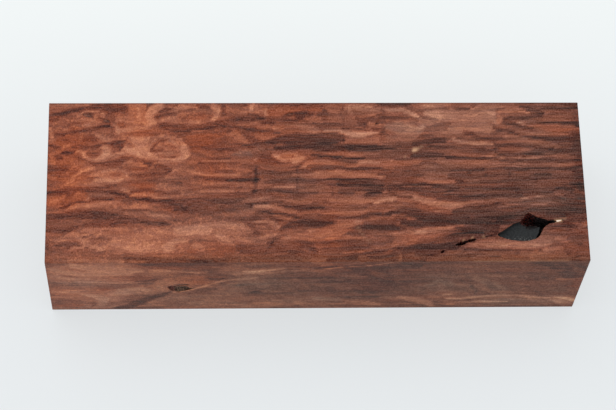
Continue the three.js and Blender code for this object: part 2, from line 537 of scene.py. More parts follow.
def setAttribute(mesh, name, values):
    values = np.asarray(values, np.float32)
    kind = "FLOAT_VECTOR" if values.ndim == 2 else "FLOAT"
    layer = mesh.attributes.new(name, kind, "POINT")
    layer.data.foreach_set("vector" if values.ndim == 2 else "value", values.ravel())


def belowSurface(places):
    # How far each place lies inside the sawn faces
    half = blockSize / 2 - block["edgeRound"]
    middle = (lowCorner + highCorner) / 2
    away = np.abs(places - middle) - half
    outside = np.linalg.norm(np.maximum(away, 0), axis=1) + np.minimum(away.max(axis=1), 0)
    return block["edgeRound"] - outside


# Crumbs of rotted bark that cling to the walls of the deep hollows in the top
crumble = {
    "density": 4.3e6,
    "leastSize": 0.10,
    "mostSize": 0.30,
    "roundness": 2,
    "jagged": 0.16,
    "jagSize": 0.35,
    "sandedOff": 0.03,
    "seed": 5,
    "squash": (0.8, 0.7),
    "from": 0.25,
    "to": 3.6,
    "lowest": 5,
    "hole": (52.0, -10.3),
    "holeReach": (3.6, 1.5),
    "slitSpan": (30, 42),
    "slitSide": -13,
    "slitShare": 1.4,
}


def makeCrumbTree(settings):
    kinds = {"Geometry": "Geometry"}
    kinds.update(dict.fromkeys(("Density", "Least size", "Most size", "Jagged", "Jag size", "Top"), "Float"))
    kinds.update({"Roundness": "Int", "Seed": "Int", "Wood": "Material"})
    tree, named, sockets = startTree("barkCrumbs", kinds)
    crumbly = tree.add("GeometryNodeInputNamedAttribute", {"data_type": "FLOAT"}, {"Name": "crumbly"})
    # The crumbs gather where the wall is marked crumbly
    inputs = {"Mesh": named["Geometry"], "Density": named["Density"] * crumbly, "Seed": named["Seed"]}
    spots = tree.add("GeometryNodeDistributePointsOnFaces", {"distribute_method": "RANDOM"}, inputs)
    ball = tree.add("GeometryNodeMeshIcoSphere", {}, {"Radius": 1.0, "Subdivisions": named["Roundness"]})
    inputs = {2: named["Least size"], 3: named["Most size"], 8: named["Seed"]}
    size = tree.add("FunctionNodeRandomValue", {"data_type": "FLOAT"}, inputs, output=1)
    turn = tree.add("FunctionNodeRandomValue", {"data_type": "FLOAT_VECTOR"},
                    {0: (0.0, 0.0, 0.0), 1: (6.28, 6.28, 6.28), 8: named["Seed"]})
    wide, high = (size * share for share in settings["squash"])
    inputs = {"Points": spots, "Instance": ball, "Rotation": turn, "Scale": tree.vector(size, wide, high)}
    strewn = tree.add("GeometryNodeInstanceOnPoints", {}, inputs)
    loose = tree.add("GeometryNodeRealizeInstances", {}, {"Geometry": strewn})
    places = tree.add("GeometryNodeInputPosition", {}, {})
    jagScale = 1 / named["Jag size"]
    inputs = {"Vector": places * tree.vector(jagScale, jagScale, jagScale), "Scale": 1.0, "Detail": 2.0}
    rough = tree.add("ShaderNodeTexNoise", {"noise_dimensions": "3D"}, inputs, output=1)
    push = (rough - tree.vector(0.5, 0.5, 0.5)) * tree.vector(*[named["Jagged"]] * 3)
    # No crumb stands proud of the sanded face
    kept = (places + push).sum("MINIMUM", tree.vector(1.0, 1.0, named["Top"]))
    jagged = tree.add("GeometryNodeSetPosition", {}, {"Geometry": loose, "Position": kept})
    told = tree.add("GeometryNodeStoreNamedAttribute", {"data_type": "FLOAT", "domain": "POINT"},
                    {"Geometry": jagged, "Name": "crumb", "Value": 1.0})
    joined = tree.nodeTree.nodes.new("GeometryNodeJoinGeometry")
    for shape in (told, named["Geometry"]):
        tree.nodeTree.links.new(shape.socket, joined.inputs[0])
    endTree(tree, Wire(tree, joined.outputs[0]), named["Wood"])
    return tree, sockets


def strewCrumbs(mesh, settings, wood):
    places = placesOf(mesh)
    x, y, z = places.T
    below = belowSurface(places)
    first, last = settings["from"], settings["to"]
    deep = smooth(below, first - 0.1, first) * smooth(-below, -last, 0.5 - last)
    away = (places[:, :2] - settings["hole"]) / settings["holeReach"]
    hole = smooth(-(away ** 2).sum(axis=1), -1.1, -0.9)
    low, high = settings["slitSpan"]
    slit = smooth(-x, -high, 1 - high) * smooth(x, low, low + 1)
    slit *= smooth(-y, -settings["slitSide"], 1 - settings["slitSide"])
    most = settings["slitShare"]
    crumbly = deep * np.clip(hole + most * slit, 0, most) * (z > topFace - settings["lowest"])
    setAttribute(mesh, "crumbly", crumbly)
    tree, sockets = makeCrumbTree(settings)
    values = {
        "Density": settings["density"],
        "Least size": settings["leastSize"] * metre,
        "Most size": settings["mostSize"] * metre,
        "Roundness": settings["roundness"],
        "Jagged": settings["jagged"] * metre,
        "Jag size": settings["jagSize"] * metre,
        "Top": (topFace - settings["sandedOff"]) * metre,
        "Seed": settings["seed"],
        "Wood": wood,
    }
    return grown(mesh, tree, sockets, values)


def course(points):
    # Points in threes, with their half widths turned from tenths into whole millimetres
    return [(x, v, tenths / 10) for x, v, tenths in zip(points[::3], points[1::3], points[2::3])]


def courses(rows):
    return [(tone / 100, warmth / 100, course(points)) for tone, warmth, *points in rows]


# The figure, listed as a maker would sketch it. A streak is its tone (0 slate dark to 100 pale tan),
# its warmth (-100 bluish to 100 orange) and its course. Each point of that is x and y on the top, or x and z
# on the front, in millimetres, and the half width in tenths of one. Later streaks lie over earlier ones.
topFigure = courses([
    # The burl at the left end, its back half
    (52, 35, -65,15,40, -50,12,60, -36,10,60), (60, 20, -64.5,20.6,5, -60,20.7,9, -56,20.9,6, -53,21,3),
    (24, 10, -64.8,17.6,5, -61,18.4,7, -57,19.7,5, -53,20.3,8, -49,19.9,12, -45,19.7,9, -41,19.3,3),
    (56, 35, -63,15,16, -58,15.3,20, -53,15.5,15), (35, 40, -64.8,16.4,6, -62.5,17,4), (68, 10, -58,17.6,3,
     -56.5,18.7,3.5, -55,19,3, -53,18.9,4, -51.8,18.2,4, -51.2,17.1,3), (60, 20, -54.2,18.1,4,
     -53.2,17.6,5), (62, 20, -58,16,3, -57,16.8,3, -55,17,4, -54,16.4,5), (66, 10, -57.5,14.8,3, -56,15.2,4,
     -54.6,15.6,3), (42, 50, -60,15.4,3, -58.8,16,3, -56.8,15.8,3), (50, 80, -59.8,14.3,4, -58,14.2,7,
     -56.5,14.4,4), (58, 20, -64.3,14,6, -64,11,7), (60, 15, -60.6,14,5, -60,13.4,4),
    (26, 10, -63.5,12.6,3, -60.5,12.7,5, -58,13.1,5, -55,13.9,7, -52.5,14.8,6, -50.5,15,7, -49.3,14.5,4),
    (46, 70, -62,11,9, -58,11.2,11, -54,11.4,9), (60, 80, -61,9.4,4, -59.7,9.5,3), (57, 60, -57.6,11.8,5,
     -56.6,11.3,4), (36, 50, -56,11.2,4, -54.9,12.2,4, -54,11.2,4), (66, 15, -53.2,12.4,5, -51.5,11.6,9,
     -50,11.2,5), (27, 20, -59,9.3,3, -57,9.5,4, -54.5,9.3,5, -52,9.8,5, -50,10.3,6, -48,10.4,8,
     -46.4,10.5,4), (28, 35, -48.6,9.9,9, -47.3,9.3,9, -46.8,8.6,4), (30, 30, -64.8,9.9,4, -62.5,9.3,3),
    (27, 10, -62,7.7,3, -60.5,7.8,7, -59,7.9,5, -57.5,8.2,3), (46, 70, -64.5,6,8, -62,5.5,13, -60,6,11,
     -58.8,6.6,6), (60, 80, -64.6,7.4,4, -63.8,5,6), (30, 50, -63.3,6.2,3, -62,6.2,3.5),
    (56, 30, -59.3,5.6,4, -58.8,4.6,5), (27, 10, -64.5,3.1,4, -62.5,3.2,7, -61,3.1,6, -60,3.4,3),
    (44, 35, -55.8,7.5,4, -54,7.3,8, -52.6,7.2,6), (70, 15, -58.4,8.1,2.5, -57,7.6,5, -55.8,6.7,5,
     -54.5,6,4, -52.8,5.8,6, -51.2,6.4,11, -50.8,7.6,14, -51,8.9,12), (80, 0, -51.2,7,7, -50.6,7.4,5),
    (66, 10, -50,6.6,5, -48.5,7.2,2.5, -46.5,7.3,2), (38, 30, -49.3,7.9,2, -47.5,7.9,2.5, -46.8,8.2,2),
    # The light plumes and the big eye
    (60, 25, -44,21,22, -43.5,18,26, -43,15,26, -42.5,12,24, -41.5,9.5,22), (62, 20, -48.5,16.5,8,
     -46,16.6,12, -43.5,15.7,14, -41.5,15,8), (50, 35, -49.5,17,8, -48.5,18,5), (65, 10, -43.6,21.2,4,
     -43.5,19,4, -43.4,17,5), (54, 35, -41.9,20.8,4, -42,18.8,3), (75, 15, -38,21,11, -39,20,13,
     -40.4,18.8,12, -41,17.5,11, -40,16.3,11, -39,15.7,7), (68, 20, -39.5,15.5,7, -42,14.4,8, -45,13.9,9,
     -47.5,14.2,6), (72, 0, -49.3,15.3,3, -48.5,14.2,4, -48,13.2,4), (70, 15, -47,13.8,5, -46,13.4,5),
    (34, 40, -47.9,14.7,1.5, -47,14.5,2.5, -46.3,15.2,2, -46.8,15.9,2, -47.6,15.8,1.5),
    (50, 60, -47.1,15.2,4), (28, 20, -39.3,17.3,2, -38,17.6,4, -36.5,18,6, -35,18.3,4),
    (28, 20, -38.5,18.8,2, -37,19.3,4, -35.5,19.7,3, -34.5,19.9,2), (46, 40, -36,20.8,4, -33,20.6,3),
    (62, 30, -37.5,16.4,4, -35.5,16.9,6, -33.5,16.6,6), (27, 20, -38.2,15.2,4, -36.5,15.2,7, -34.5,15,5,
     -32,14.9,6), (28, 20, -37.6,14.2,3, -35,14,7, -32,13.8,7), (48, 45, -46.5,13,3, -44,12.9,7, -40,13,11,
     -37,12.8,9, -34,12.6,6), (71, 15, -44.5,11.3,10, -42.5,10,19, -41.5,8.5,20, -40,7.2,14, -39,6.4,7),
    (72, 10, -41.5,11,9, -39.8,11.2,8), (77, 10, -45.5,8.4,7, -43,7.8,11, -41,7.2,11), (68, 10, -47,8.2,3,
     -45.8,9.3,4), (62, 20, -41,9.5,5, -39.8,11.6,5, -37,12.2,4, -34,11.8,4, -32,10.5,5, -31,8.5,6),
    (55, 40, -38.5,9,16, -36.5,8.6,26, -35,8.5,25), (36, 40, -39.9,8.6,3, -39.2,9.6,4, -38,10.8,3.5,
     -36.4,11,2.5), (38, 40, -39.8,8.2,4, -38.3,8.4,5, -37,8.6,4), (48, 60, -37.3,9.8,5, -35.5,9.7,6,
     -34.2,8.7,5), (42, 50, -35.8,6.3,2.5, -34.6,6.6,3), (63, 15, -38.3,7.6,4, -36,7.5,5, -34.5,7.8,3),
    (64, 10, -36.6,10.4,2, -35,10.6,3, -33.6,9.8,3), (73, 15, -39.5,6.3,5, -37.5,5.7,5, -35,5.5,5,
     -33.5,5.9,8, -32.2,6.4,11, -31.7,7.5,12, -32,9.2,10),
    # Between the eyes
    (28, 30, -54.5,4.8,3, -51.5,4.6,5, -49.3,4.6,8, -47.8,5.3,9, -46.6,6.2,7, -45,6.5,5, -43.5,6.2,2),
    (58, 20, -47.3,4.3,3, -46,5,3.5, -44.5,5.7,4), (52, 45, -46.8,4.2,5, -45,4.6,10, -43,4.8,11,
     -41.3,4.3,5), (40, 40, -46,3.3,2, -43.5,3.3,3, -41.5,3.6,3), (29, 10, -44,5.8,2, -42.5,5.9,2,
     -41.3,5.3,3, -40,4.6,4, -38.5,4,4, -37,3.6,4, -36,3.2,6, -35.5,2.7,4), (60, 15, -40.5,3,2, -39,5,2.5,
     -37.5,4.8,3, -35.5,4.6,2.5), (26, 10, -44.5,2,2, -42.5,1.9,3, -40.5,1.9,4, -38.5,2.2,5, -36.5,2.1,4,
     -35.5,2.6,3), (30, 0, -42.8,0.9,3, -41,0.9,3, -39.5,0.5,4, -38.3,0.3,3), (58, 0, -37.5,0.6,3,
     -35.5,0.8,5, -33.5,0.8,4), (60, 20, -35,2.1,4, -33.8,2.8,5, -32.5,2.3,3),
    # The flat tan eye at the left and its rings
    (60, 40, -57,2.8,4, -55.5,3.2,8, -54,3.5,5), (48, 50, -59.5,3.6,4, -57.8,3.3,5), (67, 20, -60.2,-0.6,3,
     -58.9,0.6,7, -57.6,2,6), (50, 50, -56.8,0.8,5, -55,0.3,5, -53.5,0.3,3), (64, 50, -54.5,1.6,5,
     -52.5,1.9,10, -50.5,1.9,13, -48,1.7,13, -46,1.3,10, -44.8,0.8,4), (70, 15, -52,2.6,2, -49.5,3,2.5,
     -47,2.6,2, -45.6,1.7,3), (52, 60, -50,1.9,4, -48.5,1.7,6, -47.4,1.6,4), (75, 15, -53.6,0,4, -52,0.4,7,
     -50,0.2,7, -48,0.1,5, -46.5,0.5,3), (40, 50, -57.5,1.3,2, -55.5,1.3,2.5, -54,0.9,2), (57, 10, -58,-1,3,
     -55,-0.8,5, -52,-0.9,4), (60, 70, -64.6,1.2,5, -62.8,1,5), (44, 60, -62,1.2,4, -60.5,1.3,4),
    (58, 70, -64.8,-1.6,3, -63,-1.8,3), (24, 20, -64.8,-3.1,5, -62.5,-2.8,8, -60,-2.3,7, -57,-2.1,6,
     -54,-1.9,4, -51,-1.5,4, -48.5,-0.9,3), (23, 10, -57,-2.5,3, -52,-2.8,5, -49,-3.1,8, -47.5,-3.5,7,
     -46,-3.9,6, -44,-4.6,6, -41,-5.1,6, -38,-5.3,7, -34,-5.8,10), (60, 100, -64.6,-5.6,10, -63,-5,12,
     -61.5,-4.6,8, -60.8,-3.8,5), (58, 80, -59.5,-4.2,4, -57.5,-3.9,10, -56,-4,9, -54.8,-4.5,5),
    (72, 20, -55.6,-4.7,2.5, -54.8,-4.4,3), (53, -10, -54.8,-3.5,3, -53,-3.8,6, -51,-3.8,6, -49.2,-4.2,3),
    (30, 10, -53.5,-4.4,1.5, -51,-4.4,2, -49,-4.5,2), (33, 30, -62,-7,3, -59,-6.1,4, -56.5,-5.3,3,
     -53,-4.9,3, -49,-4.9,3), (67, 40, -60.5,-7.3,2, -58.8,-6.7,6, -57,-6.4,8, -55,-6.4,8, -53,-6.1,7,
     -51,-6.1,7, -49,-5.8,6, -47.5,-5.6,3), (57, 50, -48,-6.3,5, -46,-6.6,8, -44,-6.9,8, -42,-7,6,
     -40,-6.9,4), (54, 20, -64.5,-7.7,4, -62,-7.4,4, -60,-7.6,3), (70, 20, -47.2,-1.8,4, -46.2,-2.3,6,
     -45.5,-2.7,4), (50, 70, -45,-0.5,6, -43,-0.9,9, -41,-1.2,8, -39.5,-1.2,5), (34, 60, -44.5,-2.9,2.5,
     -42.5,-2.5,3.5, -40.7,-2.3,3.5, -39.7,-2.8,3.5), (67, 70, -45,-3.9,3, -43.8,-3.6,5, -42.5,-3.5,6,
     -41.5,-3.4,5, -41,-3.9,3), (74, 30, -44.8,-4.2,1.2, -43,-4.25,1.5, -41.5,-4.1,1.2),
    (59, 10, -38.5,-1,6, -36.5,-1.1,10, -34.5,-1.4,9, -32,-1.6,6), (30, 0, -39,-2.8,3, -36,-3.1,4,
     -33.5,-3,4), (72, 20, -40.3,-4.2,3, -38.8,-4.5,5, -37,-4.4,5, -35.5,-4.2,3), (30, 0, -36,-5.8,6,
     -34,-6.3,12, -32,-7,13), (50, 20, -49,-7.4,2, -45,-8.2,4, -42,-8.4,5, -39.5,-8,6),
    (36, 10, -47,-7.8,1.5, -43,-7.7,2, -40,-7.6,1.5),
    # The broad dark band and the big light lens in front of it
    (20, 0, -65,-9.7,9, -62,-9.3,10, -60,-9,10, -57,-8.8,12, -54,-8.7,13, -51,-8.8,12, -49,-9.2,10,
     -46,-9.9,8, -43,-10.4,7, -40,-11,7, -37.5,-11.1,7, -35.5,-11.4,4), (25, 40, -55.5,-11.5,4, -52,-11.2,7,
     -49,-10.9,9, -46,-10.9,7), (48, 20, -64,-11.2,3, -61,-10.9,5, -58,-10.8,7, -55.5,-10.4,4),
    (56, 0, -40.5,-8.9,6, -37.5,-9.1,7, -35.5,-9.7,5), (34, 10, -65,-15,9, -65,-19,9),
    (60, 30, -63.5,-15.3,2, -61,-15,7, -59,-14.4,10, -56,-13.8,14, -53,-13.8,15), (64, 35, -54,-14,16,
     -50,-14.2,26, -46,-15.2,33, -42,-16,33, -38,-16,34, -34,-15,34), (63, 20, -57,-14.8,7, -55.5,-16,9,
     -54,-17,8, -51.5,-17.3,9), (55, 50, -51,-13,6, -47.5,-13,9, -44.5,-13.5,6), (27, 0, -64,-12.7,4,
     -61.8,-12.9,8, -60,-12.9,6, -57.5,-12,3), (44, -10, -57,-13.3,1.5, -55,-13.7,2, -53.8,-14.4,2.5),
    (36, -30, -55.8,-14.7,2, -54,-15.1,3, -52.5,-15,4.5, -51,-15.3,4, -49.5,-15.6,2),
    (36, -10, -63,-16.4,3, -60,-16.3,4.5, -57.5,-16.2,3, -56,-16.8,2.5, -54.8,-17.5,3, -53,-18.2,5,
     -51.5,-18.2,3), (60, 10, -59.3,-17.5,3, -57.5,-17.2,5, -56,-17.5,4.5), (36, 10, -59.5,-18.5,2.5,
     -56,-18.5,2.5, -54,-18.6,4, -51.8,-18.6,4), (42, 20, -64.5,-18.2,7, -60,-19.3,6, -54,-19.4,5),
    (57, 15, -63,-21,5, -57,-20.7,6, -50,-21,5, -45,-21.2,3), (23, 0, -50,-19.8,2, -47,-19.9,4, -44,-20.4,6,
     -40,-20.8,8, -35,-21,8, -28,-20.9,8, -22,-20.8,6), (48, 50, -41,-19,5, -37,-19.1,8, -33,-19.3,8),
    (70, 10, -36.5,-17.8,10, -34.5,-16.5,15, -32.5,-15.6,12), (52, 10, -44,-12.3,3, -41.5,-13,3,
     -39,-13.2,2),
    # Behind the middle: mottled wood along the back edge
    (60, 40, -33,20.7,5, -30.5,20.5,6, -28.5,19.9,3), (34, 20, -33.5,18.9,1.2, -31,19.2,2.5, -29.5,19.5,2),
    (36, 40, -29,20.7,4, -27.5,20.4,6, -26.3,20.3,4), (50, 60, -33,17.4,12, -30,17.4,13, -27.5,17.8,10),
    (62, 30, -30.5,16.2,4, -28.8,16.1,6), (70, 25, -25.3,21,6, -24.5,19.7,10, -24,18.5,10, -24.6,17.3,8,
     -25,16.6,5), (78, 10, -23.8,19.6,3, -23.6,18.4,3), (36, 20, -22.9,20.8,4, -22.4,19.5,5, -22.6,18,5),
    (54, 30, -21.5,20,6, -19.5,19.6,9, -17.5,19.2,10), (36, 35, -19.5,20.9,3, -17.5,20.8,5, -16.7,20.4,3),
    (38, 30, -21.4,18.3,4), (68, 10, -15.4,21,5, -15.7,19.8,6, -15.5,18.7,6), (62, 10, -14.6,20.6,3,
     -14.2,19.4,3), (34, 10, -13.7,21.1,4, -11,20.9,5, -9,21,4), (72, 10, -12,18.8,5, -11.7,18,5,
     -11.4,17.3,3.5), (30, 12, -34,14.6,3, -31,14.5,5, -28,14.7,7, -25,15.2,11, -22,15.7,13, -19,16.5,13,
     -16,17.1,10, -13,17.1,8, -10,16.9,6, -7,16.6,6, -4.5,16.4,4), (18, 0, -31,14.2,2, -27,14.2,4,
     -24,14.5,4, -21,14.6,3, -18.5,14.4,3, -16,14,3.5, -13.5,13.8,3, -11,13.4,2.5, -9,13.1,2),
    (26, 10, -34,13.4,4, -30.5,13.8,3), (34, 10, -33.5,12.2,4, -31,12.4,3), (30, 10, -16,18,5, -14,17.8,5,
     -12.5,17,4), (26, 30, -13.5,15.9,2, -12,15.9,4, -10.5,15.7,4), (60, 40, -18.8,15,2, -17,15.1,3,
     -15.5,15.4,5, -14.5,15.5,7, -13.8,14.8,4), (58, 40, -14,14.5,3, -12,14.6,5, -10,14.5,7, -8,14.2,8),
    (68, 20, -10,14.2,4, -9,14.1,4), (46, 75, -11,18.5,8, -9,19,15, -6,19.3,18, -3.5,19,16, -1.5,19,10),
    (60, 80, -9,19.2,5, -7.8,19.4,5), (57, 80, -6.8,19.9,4, -5.9,19.3,3), (30, 60, -6,20.2,5, -4.5,20.4,5),
    (25, 40, -4.5,18,7, -3.2,18,9, -2.2,18.4,5), (27, 35, -4.2,16.8,5, -3,17,6), (60, 60, -2,16.8,3.5,
     -0.8,17.2,6, 0,17.5,5), (60, 50, -6.2,17.3,3, -5.4,17.4,3), (31, 40, -7.5,16.6,3, -5,16.3,3.5),
    (64, 15, -7,15,4, -5,15.2,5, -3.5,15,9, -1.5,14.2,10, 0,13.6,9),
    # The red patch, the orange lenses and the big dark band of the middle
    (48, 65, -32,11,6, -30,10.8,16, -28,11,19, -26,11.3,17, -24.5,12,10, -22.5,12.8,4),
    (42, 50, -29.5,9.2,4, -27,9.2,5, -24.5,9,3), (42, 35, -24,10.6,7, -21.8,11,8), (61, 50, -21.3,12.4,6,
     -19.8,12.7,9, -18.6,11.8,14, -17.6,11,11, -16.9,10.6,6), (36, 30, -16.6,13.5,2, -16,12,2.5,
     -15.6,11.1,2.5), (59, 60, -15.8,12.8,3, -14.5,12.6,6, -13.5,11.9,10, -12.5,11.7,9, -11,12,5,
     -9.3,12.4,2), (38, 20, -27,8.6,4, -22,8.8,5, -18,9.2,4),
    (20, 5, -18,9.5,2, -15,10,4, -13,10.1,5, -11,10.5,8, -9,11,11, -7,11,17, -5,10.8,22, -3,10.4,23,
     -1,10.6,21, 2,10.9,17, 5,11,10, 6.4,11.1,5, 8,11,2), (27, 10, -10,8.9,4, -5,9,8, -1,9,9, 3,8.8,8),
    (30, 30, -1,12.2,3.5, 3,11.9,3.5, 6.5,12,3.5), (54, 10, -9.9,9.6,0.8, -8,9.6,0.8),
    (55, -30, -20.5,6.8,5, -18.5,7.3,10, -16.5,7.5,10, -15.8,6.8,5), (50, -5, -16.2,8.4,3, -13,8.4,4),
    (57, 35, -28.5,6.4,2, -26,6.8,5, -24,7.1,6, -22,7,5, -20.5,7.5,2), (36, 20, -27.5,5.9,1.2, -23,5.8,2,
     -21,5.7,1.5), (63, 0, -27.3,5.2,1.5, -25,5.2,3, -23,5.2,3.5, -21.3,5.3,2), (34, 20, -28,4.6,1.2,
     -24,4.5,2, -19,4.8,2), (58, 50, -29.5,3.6,3, -27,3.5,4, -23.5,3.4,4, -21,3.5,4, -19,3.1,10, -17,3,9,
     -16,2.9,5), (32, 20, -24.5,2.7,1.5, -22,2.8,2.5, -20.3,2.8,1.5), (68, 30, -31.2,2.9,3, -30,2.6,5,
     -29,2,5, -27,1.6,4, -25,1.7,3, -22,1.8,3.5, -20,1.8,3.5, -18.5,1.8,2), (25, 20, -30,0.9,2, -27,0.5,4,
     -24,0.5,6, -21,0.6,7, -18,0.4,8, -16,0.3,10, -14.9,0.3,11), (57, 30, -32.5,-0.3,3, -30,-0.9,6,
     -27,-1.1,6, -25,-0.8,6, -22.5,-0.5,5, -20,-0.6,3), (32, 15, -30.5,-2.2,1, -27,-1.9,1.5, -24,-1.6,2.5,
     -21,-1.3,3.5, -18,-1.5,2), (71, 30, -28,-2.7,2, -25.5,-2.7,4.5, -23,-2.8,5.5, -21,-2.7,4.5,
     -19.5,-2.4,2), (50, 15, -18.5,-2.5,4, -16.5,-2.6,4), (37, -15, -33,-6,15, -29,-6.5,26, -24,-6.8,30,
     -19,-6.5,25, -16.5,-6,15), (30, -10, -24,-6.9,6, -22.6,-7,7), (34, -40, -24.5,-4.8,5, -21,-4.9,7,
     -18,-5.2,4), (42, 15, -24.5,-8.9,5, -21,-8.8,6, -17.5,-8.6,5), (28, 0, -34,-7.5,6, -31.8,-7,5),
    # The bright eye right of the middle and what lies round it
    (46, 65, -15.5,5.3,6, -13.5,5.8,12, -11.5,5.8,14, -10,5.2,9), (60, 10, -15.2,5.4,3, -14.6,6,4),
    (56, 20, -12.2,3.6,3, -10.4,3.6,3), (76, 30, -10,7.1,5, -8.8,6.6,10, -7,6.6,13, -5.3,6.4,14, -4,6.2,10,
     -3.2,6.4,6), (86, 10, -9.8,6.8,3, -8.5,5.8,4, -7.3,5.3,4), (66, 60, -7.7,6.9,6, -5.5,7.1,5),
    (46, 70, -5.3,6.7,3), (72, 0, -5.6,5.2,5, -4.5,5.1,5), (57, 65, -2.5,4.6,5, -1,5.1,9, 1.5,5,5,
     3,4.8,4.5, 4.3,4.9,3.5, 5.2,4.8,1), (68, 45, -0.5,5.4,4, 1.5,5.1,4, 3,4.8,3.5), (64, 40, -3.3,3.9,3,
     -2.4,3.9,3), (35, -10, -14,2.3,7, -11,1.6,14, -7,1.4,15, -4,1.2,11), (28, -10, -13.2,2.8,4,
     -10.5,2.7,5), (59, 40, -5.5,1.8,2, -3.5,1.7,4, -1.5,1.8,5, 0,1.8,7), (44, 20, -12,-0.3,5, -8,-0.4,6,
     -4,-0.3,6, -1,-0.6,6), (68, 20, -12.2,-1.5,1.2, -10.5,-1.6,2, -8.5,-1.6,3, -6.5,-1.7,2.5, -5.2,-1.8,1),
    (26, -10, -12,-2.6,4, -9,-2.7,6, -6.5,-3.2,8, -4.5,-3.6,7, -2.5,-3.6,4, 0,-3.5,3),
    (61, 40, -18.7,-5.1,1, -17,-5.1,3, -15.5,-5.1,5, -13.5,-4.9,5, -12,-4.7,5, -10.5,-5,3),
    (60, 35, -9.8,-4.7,3, -7.5,-4.9,5, -5.5,-5.3,6, -3.5,-5.5,6, -1.5,-5.5,4), (25, 5, -17.3,-5.9,2,
     -14.5,-6.1,2, -11,-6.2,2, -7.5,-6.5,4, -5,-6.8,5, -2,-6.9,5, 1.5,-6.9,3.5), (67, 50, -15,-6.9,3,
     -13.5,-6.8,5, -11.5,-6.9,6, -9.5,-7.2,6, -7.5,-7.7,5, -6,-7.9,5, -5,-8,3), (76, 30, -13,-6.7,2,
     -11.8,-6.7,3), (24, 5, -15,-7.9,2, -13,-8.2,3, -10.5,-8.5,2, -8.5,-8.6,3, -7,-9,3, -5.8,-9.4,4,
     -4.8,-9.6,3), (52, 40, -5,-8.7,3, -3.5,-8.4,5, -1.5,-8.2,5, 0,-8.1,4), (59, 40, -10.7,-9.3,1.5,
     -9.3,-9.6,3, -8,-9.9,3.5, -6,-10.1,3, -5,-10.2,1), (67, 20, -15.8,-10.6,2, -14,-10.7,4, -12,-10.7,5,
     -10.5,-11.2,6, -9.6,-11.9,5, -9.4,-12.5,3), (54, 20, -14.5,-12.2,6, -12,-12.6,11, -10.5,-12.6,8),
    (38, 10, -17,-12.3,5, -15.8,-13.3,8, -14,-14,4), (26, 10, -9,-12.8,6, -7.5,-12,11, -5.5,-11.4,13,
     -3.5,-11.2,12, -1,-11.3,11, 1,-11.2,10, 3.2,-11,6),
    # The light and speckled wood in front of the middle
    (66, 20, -33,-13,14, -30.5,-12.9,15, -28,-12.8,16, -25,-12.5,20, -22,-12.5,22, -19,-12.7,20,
     -16.5,-13.2,10), (72, 10, -33,-13,12, -29.5,-12.8,15, -26.5,-13,12), (70, 0, -24,-14,8, -22.3,-15.2,12,
     -21,-15.8,8), (66, 10, -20,-15,6, -17.5,-15.2,8, -15,-15.5,5), (62, 10, -13.5,-15,7, -12.5,-14.8,6,
     -11,-14.5,7, -9.5,-14,6), (54, 45, -33,-17.3,12, -30,-17.2,14, -27,-17.5,15, -24,-17.8,15, -21,-18,12),
    (66, 20, -29.4,-17,6, -28,-17.4,6), (62, 30, -28.8,-18.6,4, -27.6,-18.2,4), (48, 80, -31.5,-18.6,5,
     -29.8,-18.9,5), (50, 70, -25,-19.2,5, -22.5,-19.3,5), (42, 10, -19,-17.5,10, -16,-18,14, -13,-18.2,15,
     -9,-18.4,14, -5,-18.8,12), (30, 10, -12,-16.5,5, -10.2,-16.6,8, -9,-16.9,5), (61, 50, -9,-15.3,4,
     -7,-14.9,8, -4,-14.9,12, -1,-14.7,15, 2,-14.4,17, 4.5,-13.6,16, 6.5,-12.6,12), (70, 20, -8.2,-15,4,
     -7,-14.9,4), (64, 30, -2,-13.3,5, 0,-13.4,5), (46, 50, -8,-16.9,4, -4,-16.8,6, 0,-16.8,8),
    (20, 0, -2,-18,4, -0.9,-18.3,8, -0.7,-19.2,6), (33, 10, -7,-18.7,3.5, -4,-18.9,4), (34, 10, -10,-20.4,4,
     -7,-20.5,4, -5,-20.6,3), (58, 30, -3.5,-20.7,3.5, -1.5,-20.8,5, 1,-21.1,4), (50, 10, -20,-21.1,2.5,
     -14,-21.1,2.5),
    # Right of the middle, behind: the pink oval eye, the speckled pale band and the hazy wood
    (48, 70, 0,19.5,14, 1.4,19.6,9), (57, 35, 4,19.6,16, 6,19.2,14), (60, 70, 0,16.8,5, 1.2,16.9,4),
    (38, 15, 2,20,4, 2.3,18,5, 2.6,16.5,7, 2.5,15,6), (36, 0, -0.3,15.3,5, 1.2,15,6), (40, 20, 2.5,15.5,6,
     4,15.8,7, 6,15.4,6), (54, 30, 8.3,17.5,11, 11,18,12, 14,18.3,8), (66, 20, 7.8,19.8,7, 10,20.1,11,
     12,19.8,13, 14,19.6,12, 15.6,19.3,6), (78, 10, 10,20.1,4, 11,20,4), (74, 10, 13.2,20.3,4, 14,20.1,3),
    (70, 10, 8.5,20.3,2.5, 8.6,18.3,2.5), (26, 0, 15.5,21.1,2.5, 17.5,20.9,5, 20,20.9,6, 23,20.8,5,
     25,21,2.5), (67, 10, 17,19.3,5, 19,19.3,8, 21,19.2,8, 22.5,18.6,7, 24,17.8,6, 25.5,17.1,5),
    (33, 20, 15.3,17.9,3, 16.5,17.3,5, 18,17,6, 20,16.9,7, 21.5,16.7,5, 23.5,16.7,4, 25.5,16.5,3),
    (38, 15, 22.7,19.4,3, 24,19,5, 25.7,18.9,6, 26.6,19,4), (29, 10, 25.2,18.8,3, 26.2,18.8,3),
    (57, 20, 27,20.5,6, 29,20.4,7, 31,20.5,7, 33,20.7,6), (64, 20, 27.5,18.5,7, 29.5,18,14, 31.5,17.8,18,
     34,17.5,22), (40, 40, 10,17.2,4, 11,16.5,8, 12.5,16.8,7, 14,17,5), (33, 30, 10.7,15.9,5, 12,15.6,6,
     12.3,15,5), (64, 50, 12.8,15.8,3, 13.5,15.3,6, 14.8,15.1,8, 16,14.9,6, 16.8,14.9,3),
